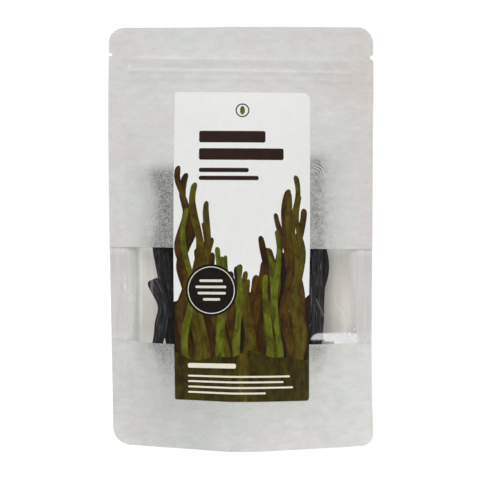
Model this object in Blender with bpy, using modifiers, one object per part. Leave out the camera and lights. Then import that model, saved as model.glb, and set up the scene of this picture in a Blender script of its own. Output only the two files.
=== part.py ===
"""Stand-up pouch of dried sea spaghetti.

A white paper pouch with a clear window band, a press zipper, two tear notches, a folded
bottom gusset and a tall plain label, and the dried strands that it holds.

Metres, +Z up. The pouch stands on the floor at z = 0, its front faces -Y, and the origin
is under the middle of its foot. A sheet is laid out flat first, as x across and a height
along it, and the functions of the next section then bend it to the filled pouch.
"""
import math
import random

import bmesh
import bpy
from mathutils import Matrix, Vector

# Pouch, outside
POUCH_HEIGHT = 0.255
FLAT_WIDTH = 0.161
SIDE_SEAL = 0.009
CORNER_SEAL = 0.0004
TOP_SEAL = 0.010
TOP_CORNER_RADIUS = 0.0082
BOTTOM_CORNER_RADIUS = 0.0095
FOOT_HALF_DEPTH = 0.0145
FOOT_LENS_POWER = 0.75
FOOT_LENS_FADE = 0.060
FOOT_RISE_LEFT = 0.0033
FOOT_RISE_RIGHT = 0.0013
FOOT_FLAT_HALF = 0.018
FOOT_RISE_FADE = 0.060
WEB_TILT = 0.016
WEB_TILT_FADE = 0.016
NOTCH_HEIGHT = POUCH_HEIGHT - 0.0174
NOTCH_DEPTH = 0.0019
NOTCH_HALF_HEIGHT = 0.0011

# Sheets
PAPER_THICKNESS = 0.00035
FILM_THICKNESS = 0.00035
LABEL_THICKNESS = 0.00025
SEAL_GAP = 0.0003
TOUCH_GAP = 0.0003

# Facets of the panels, as first height, last height and number of rows
PANEL_COLUMNS = 14
LOWER_WALL = (0.022, 0.038, 2)
UPPER_WALL = (0.150, 0.206, 4)
BACK_WALL = (0.022, 0.206, 10)
WINDOW_ROWS = 6
CORNER_ANGLES = (20, 42, 65, 90)
SHARP_ANGLE = math.radians(50)

# Window band and the step of the paper over the film's edge
WINDOW_BOTTOM = 0.0642
WINDOW_TOP = 0.1210
WINDOW_LAP = 0.006
LAP_STEP = 0.00075
LAP_STEP_FADE = 0.005

# Label
LABEL_WIDTH = 0.0825
LABEL_BOTTOM = 0.0302
LABEL_TOP = 0.2144
LABEL_CORNER_RADIUS = 0.0022
LABEL_COLUMNS = 8

# Press zipper
ZIPPER_HEIGHT = POUCH_HEIGHT - 0.0270
ZIPPER_HALF_LENGTH = 0.068
ZIPPER_FLANGE_HALF_HEIGHT = 0.0062
ZIPPER_FLANGE = 0.0004
ZIPPER_REACH = 0.0021
ZIPPER_GROOVE_HALF = 0.00075
ZIPPER_JAW = 0.0005
ZIPPER_STEM_HALF = 0.00025
ZIPPER_HEAD_HALF = 0.0004
ZIPPER_HEAD_START = 0.0014
ZIPPER_HEAD_WIDEST = 0.0016
ZIPPER_HOLD = 0.00155
ZIPPER_BAND = 0.0065
ZIPPER_BAND_FADE = 0.006
ZIPPER_END_FADE = 0.04
ZIPPER_SEGMENTS = 8

# Bottom gusset
GUSSET_HALF_LENGTH = 0.048
GUSSET_SEAL_LOW = 0.005
GUSSET_LEG_ROWS = 2
GUSSET_ARCH_ROWS = 5

# Dried strands
STRAND_SECTION = ((0.5, 0), (0.28, 0.5), (-0.28, 0.5), (-0.5, 0), (-0.28, -0.5), (0.28, -0.5))
STRAND_THICKNESS = 0.0012
STRAND_MARGIN = 0.0016
STRAND_TIP = 0.0016
STRAND_TIP_SCALE = 0.55
STRAND_POINTS = 14
LEG_POINTS = 9
BRANCH_POINTS = 8
BUNDLE_MIDDLE = 0.110
FRONT_PITCH = 0.0068
BACK_PITCH = 0.0079
WALL_WIDTHS = (0.0046, 0.0058)
WALL_TOPS = (0.158, 0.174)
FRONT_ENDS = (0.036, 0.043)
BACK_ENDS = (0.038, 0.046)
INNER_WIDTHS = (0.0042, 0.0058)
INNER_TOPS = (0.150, 0.166)
INNER_ENDS = (0.0445, 0.050)
FRONT_PLAN = ("fork", "single", "fold", "single", "single", "fold", "fork", "single", "fold", "single")
BACK_PLAN = ("single", "fork", "single", "single", "single", "fork", "single", "single", "fork")
FOLD_HEIGHT = 0.046
FOLD_SHORTER = 0.012
FOLD_ANGLES = (30, 60, 90, 120, 150)
FORK_WIDTH = 0.0060
BRANCH_WIDTH = 0.0043
BRANCH_TWIST = 0.02
BRANCH_LEAD = 0.0007
FORK_HEIGHT = 0.100
FORK_REACH = 0.026
FORK_OVERLAP = 0.006
SEED = 41


# Form of the filled pouch

def smooth(value):
    """Ease from 0 to 1 as value goes from 0 to 1."""
    value = min(max(value, 0.0), 1.0)
    return value * value * (3 - 2 * value)


def bulge(height):
    """Half depth of the pouch on its middle line."""
    share = min(height / (POUCH_HEIGHT - TOP_SEAL), 1.0)
    return FOOT_HALF_DEPTH * math.cos(math.pi / 2 * share)


def half_width(height):
    """Half of the chord that a sheet spans once its bulge has drawn its sides in."""
    lens_half = FLAT_WIDTH / 2 - SIDE_SEAL
    return FLAT_WIDTH / 2 - bulge(height) ** 2 * 2 / 3 / lens_half


def corner_inset(height):
    """How far a rounded corner cuts the sheet's side edge in."""
    above = height - (POUCH_HEIGHT - TOP_CORNER_RADIUS)
    below = BOTTOM_CORNER_RADIUS - height
    inset = 0.0
    if above > 0:
        inset = TOP_CORNER_RADIUS - math.sqrt(max(TOP_CORNER_RADIUS ** 2 - above ** 2, 0))
    if below > 0:
        inset = BOTTOM_CORNER_RADIUS - math.sqrt(max(BOTTOM_CORNER_RADIUS ** 2 - below ** 2, 0))
    return inset


def notch_inset(height):
    """How far a tear notch cuts the sheet's side edge in."""
    return NOTCH_DEPTH * max(0.0, 1 - abs(height - NOTCH_HEIGHT) / NOTCH_HALF_HEIGHT)


def edge_x(height):
    """Half width of the cut sheet."""
    return half_width(height) - corner_inset(height) - notch_inset(height)


def seal_x(height):
    """Where the side seal starts, drawn in round a corner."""
    return min(half_width(height) - SIDE_SEAL, edge_x(height) - CORNER_SEAL)


def seal_share(x, height):
    """0 on the middle line and 1 from the side seal outwards."""
    return min(abs(x) / seal_x(height), 1.0)


def zipper_hold(x, height):
    """Half depth that the closed zipper keeps between the panels."""
    band = 1 - smooth((abs(height - ZIPPER_HEIGHT) - ZIPPER_BAND) / ZIPPER_BAND_FADE)
    ends = smooth((1 - seal_share(x, height)) / ZIPPER_END_FADE)
    return ZIPPER_HOLD * band * ends


def inner_depth(x, height):
    """Distance from the middle plane to a panel's inner face."""
    power = FOOT_LENS_POWER + (1 - FOOT_LENS_POWER) * smooth(height / FOOT_LENS_FADE)
    lens = (1 - seal_share(x, height) ** 2) ** power
    return SEAL_GAP / 2 + max(bulge(height) * lens, zipper_hold(x, height))


def foot_rise(x, height):
    """Lift of the bottom edge towards the corners, gone further up."""
    reach = half_width(0) - SIDE_SEAL - FOOT_FLAT_HALF
    share = max(abs(x) - FOOT_FLAT_HALF, 0.0) / reach
    rise = FOOT_RISE_LEFT if x < 0 else FOOT_RISE_RIGHT
    return rise * share * max(1 - height / FOOT_RISE_FADE, 0.0)


def world_height(x, height):
    """Height over the floor of a point of the flat sheet, whose print and cuts run askew."""
    to_edge = min(height, POUCH_HEIGHT - height)
    fade = min(to_edge / WEB_TILT_FADE, 1.0)
    return height + foot_rise(x, height) - WEB_TILT * x * fade


def panel_point(x, height, offset, side):
    """Point of a panel, offset outwards; side is -1 at the front and 1 at the back."""
    return Vector((x, side * (inner_depth(x, height) + offset), world_height(x, height)))


# Helpers

def clear_scene():
    for thing in list(bpy.data.objects):
        bpy.data.objects.remove(thing, do_unlink=True)


def make_material(name, colour, roughness, alpha=1.0):
    material = bpy.data.materials.new(name)
    material.use_nodes = True
    shader = material.node_tree.nodes["Principled BSDF"]
    shader.inputs["Base Color"].default_value = (*colour, 1.0)
    shader.inputs["Roughness"].default_value = roughness
    shader.inputs["Alpha"].default_value = alpha
    return material


def add_object(name, bm, collection, material):
    bmesh.ops.recalc_face_normals(bm, faces=bm.faces)
    return add_sheet(name, bm, collection, material)


def add_sheet(name, bm, collection, material):
    mesh = bpy.data.meshes.new(name)
    bm.to_mesh(mesh)
    bm.free()
    mesh.shade_smooth()
    mesh.set_sharp_from_angle(angle=SHARP_ANGLE)
    mesh.materials.append(material)
    thing = bpy.data.objects.new(name, mesh)
    collection.objects.link(thing)
    return thing


def thicken(thing, thickness, offset=1.0):
    solidify = thing.modifiers.new("Thickness", "SOLIDIFY")
    solidify.thickness = thickness
    solidify.offset = offset
    solidify.use_even_offset = True


def grid_of_points(columns, rows, place, flip=False):
    """A grid whose vertex (column, row) goes to place(column, row)."""
    bm = bmesh.new()
    bmesh.ops.create_grid(bm, x_segments=columns, y_segments=rows, size=1)
    for vertex in bm.verts:
        column = round((vertex.co.x + 1) / 2 * columns)
        row = round((vertex.co.y + 1) / 2 * rows)
        vertex.co = place(column, row)
    if flip:
        bmesh.ops.reverse_faces(bm, faces=bm.faces)
    return bm


def spread(first, last, count):
    """Evenly spaced values, both ends included."""
    return [first + (last - first) * index / (count - 1) for index in range(count)]


# Panels

def top_corner_heights():
    start = POUCH_HEIGHT - TOP_CORNER_RADIUS
    return [start + TOP_CORNER_RADIUS * math.sin(math.radians(angle)) for angle in CORNER_ANGLES]


def bottom_corner_heights():
    return [BOTTOM_CORNER_RADIUS * (1 - math.sin(math.radians(angle))) for angle in CORNER_ANGLES[::-1]]


def head_heights():
    """Rows above the label: zipper, notches, top seal and corners."""
    ramp = ZIPPER_BAND + ZIPPER_BAND_FADE
    zipper = [ZIPPER_HEIGHT + shift for shift in (-ramp, -ZIPPER_BAND, ZIPPER_BAND)]
    notches = [NOTCH_HEIGHT + shift * NOTCH_HALF_HEIGHT for shift in (-1, 0, 1)]
    seal = [POUCH_HEIGHT - TOP_SEAL]
    return zipper + notches + seal + top_corner_heights()


def upper_heights():
    """Rows of the upper paper: over the film's edge, up the wall and through the head."""
    lap = WINDOW_TOP + WINDOW_LAP
    return [WINDOW_TOP, lap, lap + LAP_STEP_FADE] + spread(*UPPER_WALL) + head_heights()


def window_heights():
    """Rows of the film, which laps under both papers."""
    return spread(WINDOW_BOTTOM - WINDOW_LAP, WINDOW_TOP + WINDOW_LAP, WINDOW_ROWS)


def lower_heights():
    """Rows of the lower paper: corners, up the wall and over the film's edge."""
    lap = WINDOW_BOTTOM - WINDOW_LAP
    return bottom_corner_heights() + spread(*LOWER_WALL) + [lap - LAP_STEP_FADE, lap, WINDOW_BOTTOM]


def column_place(column, height):
    """Across the panel: the cut edge, the seal line, then columns closer near the seals."""
    if column == 0:
        return -edge_x(height)
    if column == PANEL_COLUMNS:
        return edge_x(height)
    share = 2 * (column - 1) / (PANEL_COLUMNS - 2) - 1
    return seal_x(height) * math.sin(math.pi / 2 * share)


def lap_step(height):
    """Offset of the papers over the window film, gone past the film's edges."""
    past = max(WINDOW_BOTTOM - WINDOW_LAP - height, height - WINDOW_TOP - WINDOW_LAP)
    return LAP_STEP * (1 - smooth(past / LAP_STEP_FADE))


def no_step(height):
    """Offset of a sheet that lies on no other."""
    return 0.0


def make_panel(name, heights, offset, side, thickness, collection, material):
    def place(column, row):
        height = heights[row]
        return panel_point(column_place(column, height), height, offset(height), side)

    bm = grid_of_points(PANEL_COLUMNS, len(heights) - 1, place, flip=side > 0)
    panel = add_sheet(name, bm, collection, material)
    thicken(panel, thickness)


def make_front_papers(collection, material):
    for name, heights in (("front_paper_upper", upper_heights()), ("front_paper_lower", lower_heights())):
        make_panel(name, heights, lap_step, -1, PAPER_THICKNESS, collection, material)


def make_window_film(collection, material):
    make_panel("window_film", window_heights(), no_step, -1, FILM_THICKNESS, collection, material)


def make_back_panel(collection, material):
    heights = bottom_corner_heights() + spread(*BACK_WALL) + head_heights()
    make_panel("back_panel", heights, no_step, 1, PAPER_THICKNESS, collection, material)


def make_label(collection, material):
    """The label follows the papers, row for row, and bridges the window."""
    corner = LABEL_CORNER_RADIUS
    below, above = LABEL_BOTTOM + corner, LABEL_TOP - corner
    carried = sorted(set(lower_heights() + window_heights() + upper_heights()))
    heights = [LABEL_BOTTOM, below] + [row for row in carried if below < row < above] + [above, LABEL_TOP]
    rows = len(heights) - 1

    def place(column, row):
        height = heights[row]
        half = LABEL_WIDTH / 2
        if row in (0, rows):
            half -= corner
        x = half * (2 * column / LABEL_COLUMNS - 1)
        return panel_point(x, height, lap_step(height) + PAPER_THICKNESS + TOUCH_GAP, -1)

    bm = grid_of_points(LABEL_COLUMNS, rows, place)
    label = add_sheet("label", bm, collection, material)
    thicken(label, LABEL_THICKNESS)


def gusset_seal_height(x):
    """Top of the curved seal that joins the gusset to a panel."""
    share = min(abs(x) / (half_width(0) - SIDE_SEAL), 1.0)
    return GUSSET_SEAL_LOW + (GUSSET_HALF_LENGTH - GUSSET_SEAL_LOW) * (1 - math.sqrt(1 - share ** 2))


def gusset_point(column, row):
    """Up the seal on one panel, over the arch and down the other; rows count from the front.

    The columns are the panel's own, so that the facets lie alike."""
    half_rows = GUSSET_LEG_ROWS + GUSSET_ARCH_ROWS
    side = -1 if row < half_rows else 1
    step = half_rows - abs(row - half_rows)
    seal = gusset_seal_height(column_place(column, GUSSET_SEAL_LOW))
    clear = TOUCH_GAP + FILM_THICKNESS / 2
    if step < GUSSET_LEG_ROWS:
        height = TOUCH_GAP + (seal - TOUCH_GAP) * step / GUSSET_LEG_ROWS
        x = column_place(column, height)
        return Vector((x, side * (inner_depth(x, height) - clear), height + foot_rise(x, height)))
    x = column_place(column, seal)
    depth = inner_depth(x, seal) - clear
    slack = (GUSSET_HALF_LENGTH - seal) * 2 / math.pi
    arch = math.sqrt(max(2 * slack ** 2 - depth ** 2, depth ** 2))
    angle = math.pi / 2 * (step - GUSSET_LEG_ROWS) / GUSSET_ARCH_ROWS
    height = seal + arch * math.sin(angle)
    return Vector((x, side * depth * math.cos(angle), height + foot_rise(x, seal)))


def make_gusset(collection, material):
    """The gusset ends a column short of the side seals, where the panels still stand apart."""
    rows = 2 * (GUSSET_LEG_ROWS + GUSSET_ARCH_ROWS)
    first = 2
    columns = PANEL_COLUMNS - 2 * first

    def place(column, row):
        return gusset_point(column + first, row)

    gusset = add_sheet("bottom_gusset", grid_of_points(columns, rows, place), collection, material)
    thicken(gusset, FILM_THICKNESS, offset=0.0)


def make_zipper_half(name, section, side, collection, material):
    """A flange with its ribs: the section swept across the pouch.

    The section's points are (inwards from the panel, up)."""
    bm = bmesh.new()
    base = SEAL_GAP / 2 + ZIPPER_HOLD - TOUCH_GAP
    rings = []
    for x in spread(-ZIPPER_HALF_LENGTH, ZIPPER_HALF_LENGTH, ZIPPER_SEGMENTS + 1):
        ring = [Vector((x, side * (base - inwards), world_height(x, ZIPPER_HEIGHT + up)))
                for inwards, up in section]
        rings.append([bm.verts.new(point) for point in ring])
    join_rings(bm, rings)
    add_object(name, bm, collection, material)


def mirrored(half):
    """A section's upper half, followed by the same points below its middle."""
    return half + [(inwards, -up) for inwards, up in reversed(half)]


def make_zipper(collection, material):
    """A groove between two jaws on the front flange, and a headed rib on the back one."""
    wall = [(0, ZIPPER_FLANGE_HALF_HEIGHT), (ZIPPER_FLANGE, ZIPPER_FLANGE_HALF_HEIGHT)]
    jaw = ZIPPER_GROOVE_HALF + ZIPPER_JAW
    groove = wall + [(ZIPPER_FLANGE, jaw), (ZIPPER_REACH, jaw), (ZIPPER_REACH, ZIPPER_GROOVE_HALF),
                     (ZIPPER_FLANGE, ZIPPER_GROOVE_HALF)]
    rib = wall + [(ZIPPER_FLANGE, ZIPPER_STEM_HALF), (ZIPPER_HEAD_START, ZIPPER_STEM_HALF),
                  (ZIPPER_HEAD_WIDEST, ZIPPER_HEAD_HALF), (ZIPPER_REACH, ZIPPER_STEM_HALF)]
    make_zipper_half("zipper_front", mirrored(groove), -1, collection, material)
    make_zipper_half("zipper_back", mirrored(rib), 1, collection, material)


# Dried strands

def join_rings(bm, rings):
    """Side faces between rings of equal length, and a face on each end."""
    count = len(rings[0])
    for lower, upper in zip(rings, rings[1:]):
        for index in range(count):
            after = (index + 1) % count
            bm.faces.new((lower[index], lower[after], upper[after], upper[index]))
    bm.faces.new(rings[0])
    bm.faces.new(rings[-1])


def blunt_ends(points, widths, twists):
    """A second place close to each tip, so that a strand ends as if snapped off."""
    first = points[0].lerp(points[1], STRAND_TIP / (points[1] - points[0]).length)
    last = points[-1].lerp(points[-2], STRAND_TIP / (points[-2] - points[-1]).length)
    points = [points[0], first] + points[1:-1] + [last, points[-1]]
    widths = [widths[0]] + list(widths) + [widths[-1]]
    twists = [twists[0]] + list(twists) + [twists[-1]]
    return points, widths, twists


def ribbon(points, widths, twists):
    """A flat strand with a six-sided section along the points."""
    points, widths, twists = blunt_ends(points, widths, twists)
    bm = bmesh.new()
    rings = []
    for index, point in enumerate(points):
        before = points[max(index - 1, 0)]
        after = points[min(index + 1, len(points) - 1)]
        along = (after - before).normalized()
        across = (Vector((1, 0, 0)) - along * along.x).normalized()
        across.rotate(Matrix.Rotation(twists[index], 3, along))
        out = along.cross(across)
        width = widths[index]
        thickness = STRAND_THICKNESS
        if index in (0, len(points) - 1):
            thickness *= STRAND_TIP_SCALE
            width *= STRAND_TIP_SCALE
        ring = []
        for wide, thick in STRAND_SECTION:
            ring.append(bm.verts.new(point + across * wide * width + out * thick * thickness))
        rings.append(ring)
    join_rings(bm, rings)
    return bm


class Layer:
    """One layer of strands through the depth of the pouch, which all flow alike."""

    def __init__(self, depth, lean, wave, wave_length, phase):
        self.depth = depth
        self.lean = lean
        self.wave = wave
        self.wave_length = wave_length
        self.phase = phase

    def point(self, x, z):
        """Place of a strand that would run straight at x, at height z."""
        swing = self.wave * math.sin(2 * math.pi * z / self.wave_length + self.phase)
        across = x + swing + self.lean * (z - BUNDLE_MIDDLE)
        return Vector((across, self.depth * (inner_depth(across, z) - STRAND_MARGIN), z))


FRONT = Layer(-1.0, 0.015, 0.0019, 0.078, 0.4)
MID_FRONT = Layer(-0.33, -0.045, 0.0021, 0.066, 2.0)
MID_BACK = Layer(0.33, 0.055, 0.0022, 0.074, 3.6)
BACK = Layer(1.0, -0.025, 0.0021, 0.082, 5.1)


def strand_values(rng, count, width):
    """Widths and twists along a strand: gently uneven."""
    phase = rng.uniform(0, 2 * math.pi)
    widths = [width * (1 + 0.12 * math.sin(phase + 1.1 * index)) for index in range(count)]
    twists = [math.radians(8) * math.sin(phase + 0.8 * index) for index in range(count)]
    return widths, twists


def add_strand(name, points, width, rng, collection, material):
    widths, twists = strand_values(rng, len(points), width)
    return add_object(name, ribbon(points, widths, twists), collection, material)


def straight_points(layer, x, top, bottom, count=STRAND_POINTS):
    return [layer.point(x, z) for z in spread(top, bottom, count)]


def add_folded_strand(name, x, top, width, rng, collection, material):
    """A strand doubled over: down the front layer, round a bend and up the next one."""
    down = straight_points(FRONT, x, top, FOLD_HEIGHT, LEG_POINTS)
    up = straight_points(MID_FRONT, x, FOLD_HEIGHT, top - FOLD_SHORTER, LEG_POINTS)
    start, end = down[-1], up[0]
    radius = (end - start).length / 2
    bend = []
    for angle in FOLD_ANGLES:
        share = (1 - math.cos(math.radians(angle))) / 2
        drop = radius * math.sin(math.radians(angle))
        bend.append(start.lerp(end, share) - Vector((0, 0, drop)))
    add_strand(name, down + bend + up, width, rng, collection, material)


def add_forked_strand(name, layer, x, pitch, top, bottom, rng, collection, material):
    """A strand that forks halfway up into two even branches."""
    def parting(z):
        return smooth((z - FORK_HEIGHT) / FORK_REACH)

    def branch(side, low, lead, count):
        return [layer.point(x + side * (lead + pitch / 2 * parting(z)), z) for z in spread(low, top, count)]

    widths, twists = strand_values(rng, STRAND_POINTS, FORK_WIDTH)
    left = branch(-1, bottom, 0.0, STRAND_POINTS)
    narrowest = BRANCH_WIDTH / FORK_WIDTH
    widths = [width * (1 - (1 - narrowest) * parting(point.z)) for width, point in zip(widths, left)]
    trunk = add_object(name, ribbon(left, widths, twists), collection, material)
    right = branch(1, FORK_HEIGHT - FORK_OVERLAP, BRANCH_LEAD, BRANCH_POINTS)
    right_ribbon = ribbon(right, [BRANCH_WIDTH] * BRANCH_POINTS, [BRANCH_TWIST] * BRANCH_POINTS)
    side = add_object(name + "_branch", right_ribbon, collection, material)
    union = trunk.modifiers.new("Fork", "BOOLEAN")
    union.operation = "UNION"
    union.object = side
    bpy.context.view_layer.update()
    joined = bpy.data.meshes.new_from_object(trunk.evaluated_get(bpy.context.evaluated_depsgraph_get()))
    trunk.modifiers.clear()
    trunk.data = joined
    bpy.data.objects.remove(side, do_unlink=True)


def routed_points(layer, route, count=STRAND_POINTS):
    """Points on a smooth curve through a route of (x, z), laid in a layer's depth."""
    knots = [Vector((x, 0, z)) for x, z in route]
    knots = [2 * knots[0] - knots[1]] + knots + [2 * knots[-1] - knots[-2]]
    points = []
    spans = len(knots) - 3
    for place in spread(0, spans, count):
        index = min(int(place), spans - 1)
        t = place - index
        a, b, c, d = knots[index:index + 4]
        spot = 0.5 * (2 * b + (c - a) * t + (2 * a - 5 * b + 4 * c - d) * t * t
                      + (3 * b - a - 3 * c + d) * t ** 3)
        depth = layer.depth * (inner_depth(spot.x, spot.z) - STRAND_MARGIN)
        points.append(Vector((spot.x, depth, spot.z)))
    return points


def make_edge_strands(rng, collection, material):
    """The outermost strands, which show in the window beside the label."""
    left_upper = [(-0.0500, 0.171), (-0.0508, 0.140), (-0.0504, 0.122), (-0.0476, 0.104),
                  (-0.0440, 0.086), (-0.0420, 0.066), (-0.0408, 0.048)]
    left_lower = [(-0.0530, 0.1035), (-0.0497, 0.095), (-0.0470, 0.085), (-0.0483, 0.074),
                  (-0.0508, 0.0640), (-0.0515, 0.0570)]
    right_long = [(0.0470, 0.176), (0.0466, 0.150), (0.0470, 0.122), (0.0463, 0.096),
                  (0.0452, 0.072), (0.0440, 0.048)]
    right_bowed = [(0.0455, 0.158), (0.0470, 0.135), (0.0494, 0.112), (0.0468, 0.094),
                   (0.0446, 0.078), (0.0432, 0.054)]
    plan = (("strand_left_upper", MID_FRONT, left_upper, 0.0060),
            ("strand_left_lower", FRONT, left_lower, 0.0066),
            ("strand_right_long", FRONT, right_long, 0.0056),
            ("strand_right_bowed", MID_FRONT, right_bowed, 0.0058))
    for name, layer, route, width in plan:
        add_strand(name, routed_points(layer, route), width, rng, collection, material)


def make_wall_strands(prefix, layer, pitch, plan, ends, rng, collection, material):
    """Strands side by side along one wall; a fork takes two places of the plan.

    The places that a doubled strand fills are returned."""
    places = sum(2 if kind == "fork" else 1 for kind in plan)
    place = (1 - places) / 2
    folded = []
    for number, kind in enumerate(plan, 1):
        name = f"{prefix}_{number:02d}"
        top = rng.uniform(*WALL_TOPS)
        bottom = rng.uniform(*ends)
        width = rng.uniform(*WALL_WIDTHS)
        if kind == "fork":
            middle = (place + 0.5) * pitch
            add_forked_strand(name, layer, middle, pitch, top, bottom, rng, collection, material)
            place += 1
        elif kind == "fold":
            add_folded_strand(name, place * pitch, top, width, rng, collection, material)
            folded.append(place)
        else:
            points = straight_points(layer, place * pitch, top, bottom)
            add_strand(name, points, width, rng, collection, material)
        place += 1
    return folded


def make_inner_strands(rng, folded, collection, material):
    """The two layers between the walls; doubled strands already fill some places."""
    spots = [(MID_FRONT, place * FRONT_PITCH) for place in spread(-4.5, 4.5, 10) if place not in folded]
    spots += [(MID_BACK, place * BACK_PITCH) for place in spread(-4.0, 4.0, 9)]
    for number, (layer, x) in enumerate(spots, 1):
        points = straight_points(layer, x, rng.uniform(*INNER_TOPS), rng.uniform(*INNER_ENDS))
        width = rng.uniform(*INNER_WIDTHS)
        add_strand(f"strand_middle_{number:02d}", points, width, rng, collection, material)


def main():
    clear_scene()
    parts = bpy.data.collections.new("Sea spaghetti pouch")
    bpy.context.scene.collection.children.link(parts)

    paper = make_material("Rice paper", (0.62, 0.62, 0.59), 0.75)
    back_paper = make_material("Rice paper back", (0.60, 0.60, 0.57), 0.75)
    film = make_material("Clear film", (0.80, 0.80, 0.80), 0.10, alpha=0.25)
    gusset_film = make_material("Gusset paper", (0.58, 0.58, 0.55), 0.70)
    label_paper = make_material("Label paper", (0.78, 0.78, 0.75), 0.45)
    zipper_plastic = make_material("Zipper plastic", (0.70, 0.70, 0.70), 0.30)
    seaweed = make_material("Dried seaweed", (0.030, 0.030, 0.026), 0.55)

    make_front_papers(parts, paper)
    make_window_film(parts, film)
    make_back_panel(parts, back_paper)
    make_gusset(parts, gusset_film)
    make_zipper(parts, zipper_plastic)
    make_label(parts, label_paper)

    rng = random.Random(SEED)
    make_edge_strands(rng, parts, seaweed)
    folded = make_wall_strands("strand_front", FRONT, FRONT_PITCH, FRONT_PLAN, FRONT_ENDS, rng, parts,
                               seaweed)
    make_inner_strands(rng, folded, parts, seaweed)
    make_wall_strands("strand_back", BACK, BACK_PITCH, BACK_PLAN, BACK_ENDS, rng, parts, seaweed)


main()
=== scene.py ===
"""Looks of an upright rice-paper stand-up pouch with a clear window, filled with dried sea spaghetti."""

import logging
import math
import random
from dataclasses import dataclass, field
from enum import Enum
from functools import partial

import bpy
import numpy as np
from bpy.types import Material, Node, NodeSocket, NodeTree, Object
from mathutils import Matrix, Vector
from mathutils.bvhtree import BVHTree
from mathutils.geometry import delaunay_2d_cdt


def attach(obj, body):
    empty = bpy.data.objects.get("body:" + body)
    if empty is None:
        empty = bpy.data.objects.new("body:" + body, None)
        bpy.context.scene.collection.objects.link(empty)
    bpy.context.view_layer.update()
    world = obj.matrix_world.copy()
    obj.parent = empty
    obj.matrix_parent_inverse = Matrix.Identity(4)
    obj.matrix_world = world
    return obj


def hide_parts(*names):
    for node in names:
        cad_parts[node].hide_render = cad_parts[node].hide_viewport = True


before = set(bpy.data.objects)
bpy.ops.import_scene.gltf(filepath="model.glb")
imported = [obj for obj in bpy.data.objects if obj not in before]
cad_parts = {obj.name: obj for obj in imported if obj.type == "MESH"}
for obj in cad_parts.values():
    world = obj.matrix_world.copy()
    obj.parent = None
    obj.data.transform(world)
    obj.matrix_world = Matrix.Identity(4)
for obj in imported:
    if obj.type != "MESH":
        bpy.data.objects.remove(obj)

LOG = logging.getLogger("pouch")
MM = 0.001
Array = np.ndarray
Span = tuple[float, float]
FRONT, BACK = -1, 1
# Sides of a sheet meet sharply where they turn by more than this, in degrees.
SHEET_EDGE = 50
# Sockets of a Mix node's two colours, and its output and setting when it mixes them.
FIRST, SECOND = 6, 7
COLOURS = {"out": 2, "data_type": "RGBA"}
# Scale of a wave texture whose crests lie one metre apart.
WAVE_SCALE = 0.314


# Shared helpers


def linear_colour(hex_colour: str) -> tuple[float, float, float, float]:
    """Turn an sRGB hex colour into the linear colour that shaders take.

    Args:
        hex_colour: Six hex digits, with or without a leading #.

    Returns:
        Linear red, green, blue and an alpha of 1.
    """
    digits = hex_colour.lstrip("#")
    channels = [int(digits[i : i + 2], 16) / 255 for i in (0, 2, 4)]
    linear = [c / 12.92 if c <= 0.04045 else ((c + 0.055) / 1.055) ** 2.4 for c in channels]
    return (*linear, 1.0)


def smooth(value: Array | float) -> Array | float:
    """Ease from 0 to 1 as value goes from 0 to 1."""
    value = np.clip(value, 0.0, 1.0)
    return value * value * (3 - 2 * value)


def rise(value: Array | float, start: float, reach: float) -> Array | float:
    """Ease from 0 at start to 1 a reach above it."""
    return smooth((value - start) / reach)


def fall(value: Array | float, end: float, reach: float) -> Array | float:
    """Ease from 1, a reach below the end, to 0 at the end."""
    return smooth((end - value) / reach)


def bell(value: Array, middle: float, half: float) -> Array:
    """A soft hump of height 1 round its middle."""
    return np.exp(-(((value - middle) / half) ** 2))


def band(value: Array, start: Span, end: Span) -> Array:
    """Ease from 0 to 1 and back to 0, each way given as where it starts and its reach."""
    return rise(value, *start) * (1 - rise(value, *end))


def hump(x: Array, height: Array, spot: tuple[Span, Span]) -> Array:
    """A soft hump of height 1 on a sheet, given as its middle and half size across and up."""
    across, up = spot
    return bell(x, *across) * bell(height, *up)


def stepped(value: Array, steps: tuple[tuple[float, float, float], ...]) -> Array:
    """Ease from 0 to 1 in steps, each given as its share, start and reach."""
    return sum(share * rise(value, start, reach) for share, start, reach in steps)


def fill_inputs(tree: NodeTree, node: Node, inputs: dict) -> None:
    """Give a node's inputs their values and links.

    Args:
        tree: The tree of the node.
        node: The node.
        inputs: Values by the socket's name or number; a socket as the value makes a link.
    """
    for name, value in inputs.items():
        if isinstance(value, NodeSocket):
            tree.links.new(value, node.inputs[name])
        else:
            node.inputs[name].default_value = value


def add_node(
    tree: NodeTree, kind: str, inputs: dict | None = None, out: str | int = 0, **settings: object
) -> NodeSocket:
    """Add a node with its settings, values and links.

    Args:
        tree: The tree that the node joins.
        kind: Blender's name of the node type, without ShaderNode in front.
        inputs: Values by the socket's name or number; a socket as the value makes a link.
        out: Name or number of the output to return.
        settings: Node properties by name.

    Returns:
        One output socket of the new node.
    """
    new = tree.nodes.new("ShaderNode" + kind)
    for name, value in settings.items():
        setattr(new, name, value)
    fill_inputs(tree, new, inputs or {})
    return new.outputs[out]


def deselect_all() -> None:
    """Leave nothing selected, so that an operator acts on its own piece only."""
    for thing in bpy.context.selected_objects:
        thing.select_set(False)


def lay_grid(points: Array) -> Object:
    """Add a grid and lay its vertices on points.

    Args:
        points: Rows, columns and coordinates.

    Returns:
        The grid, active and selected alone.
    """
    rows, columns = points.shape[:2]
    deselect_all()
    bpy.ops.mesh.primitive_grid_add(x_subdivisions=columns - 1, y_subdivisions=rows - 1, size=2, calc_uvs=True)
    grid = bpy.context.active_object
    grid.data.vertices.foreach_set("co", points.reshape(-1))
    return grid


def edit_all(*steps: partial) -> None:
    """Run mesh operators in edit mode, each on the whole of the active piece."""
    bpy.ops.object.mode_set(mode="EDIT")
    for step in steps:
        bpy.ops.mesh.select_all(action="SELECT")
        step()
    bpy.ops.object.mode_set(mode="OBJECT")


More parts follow.
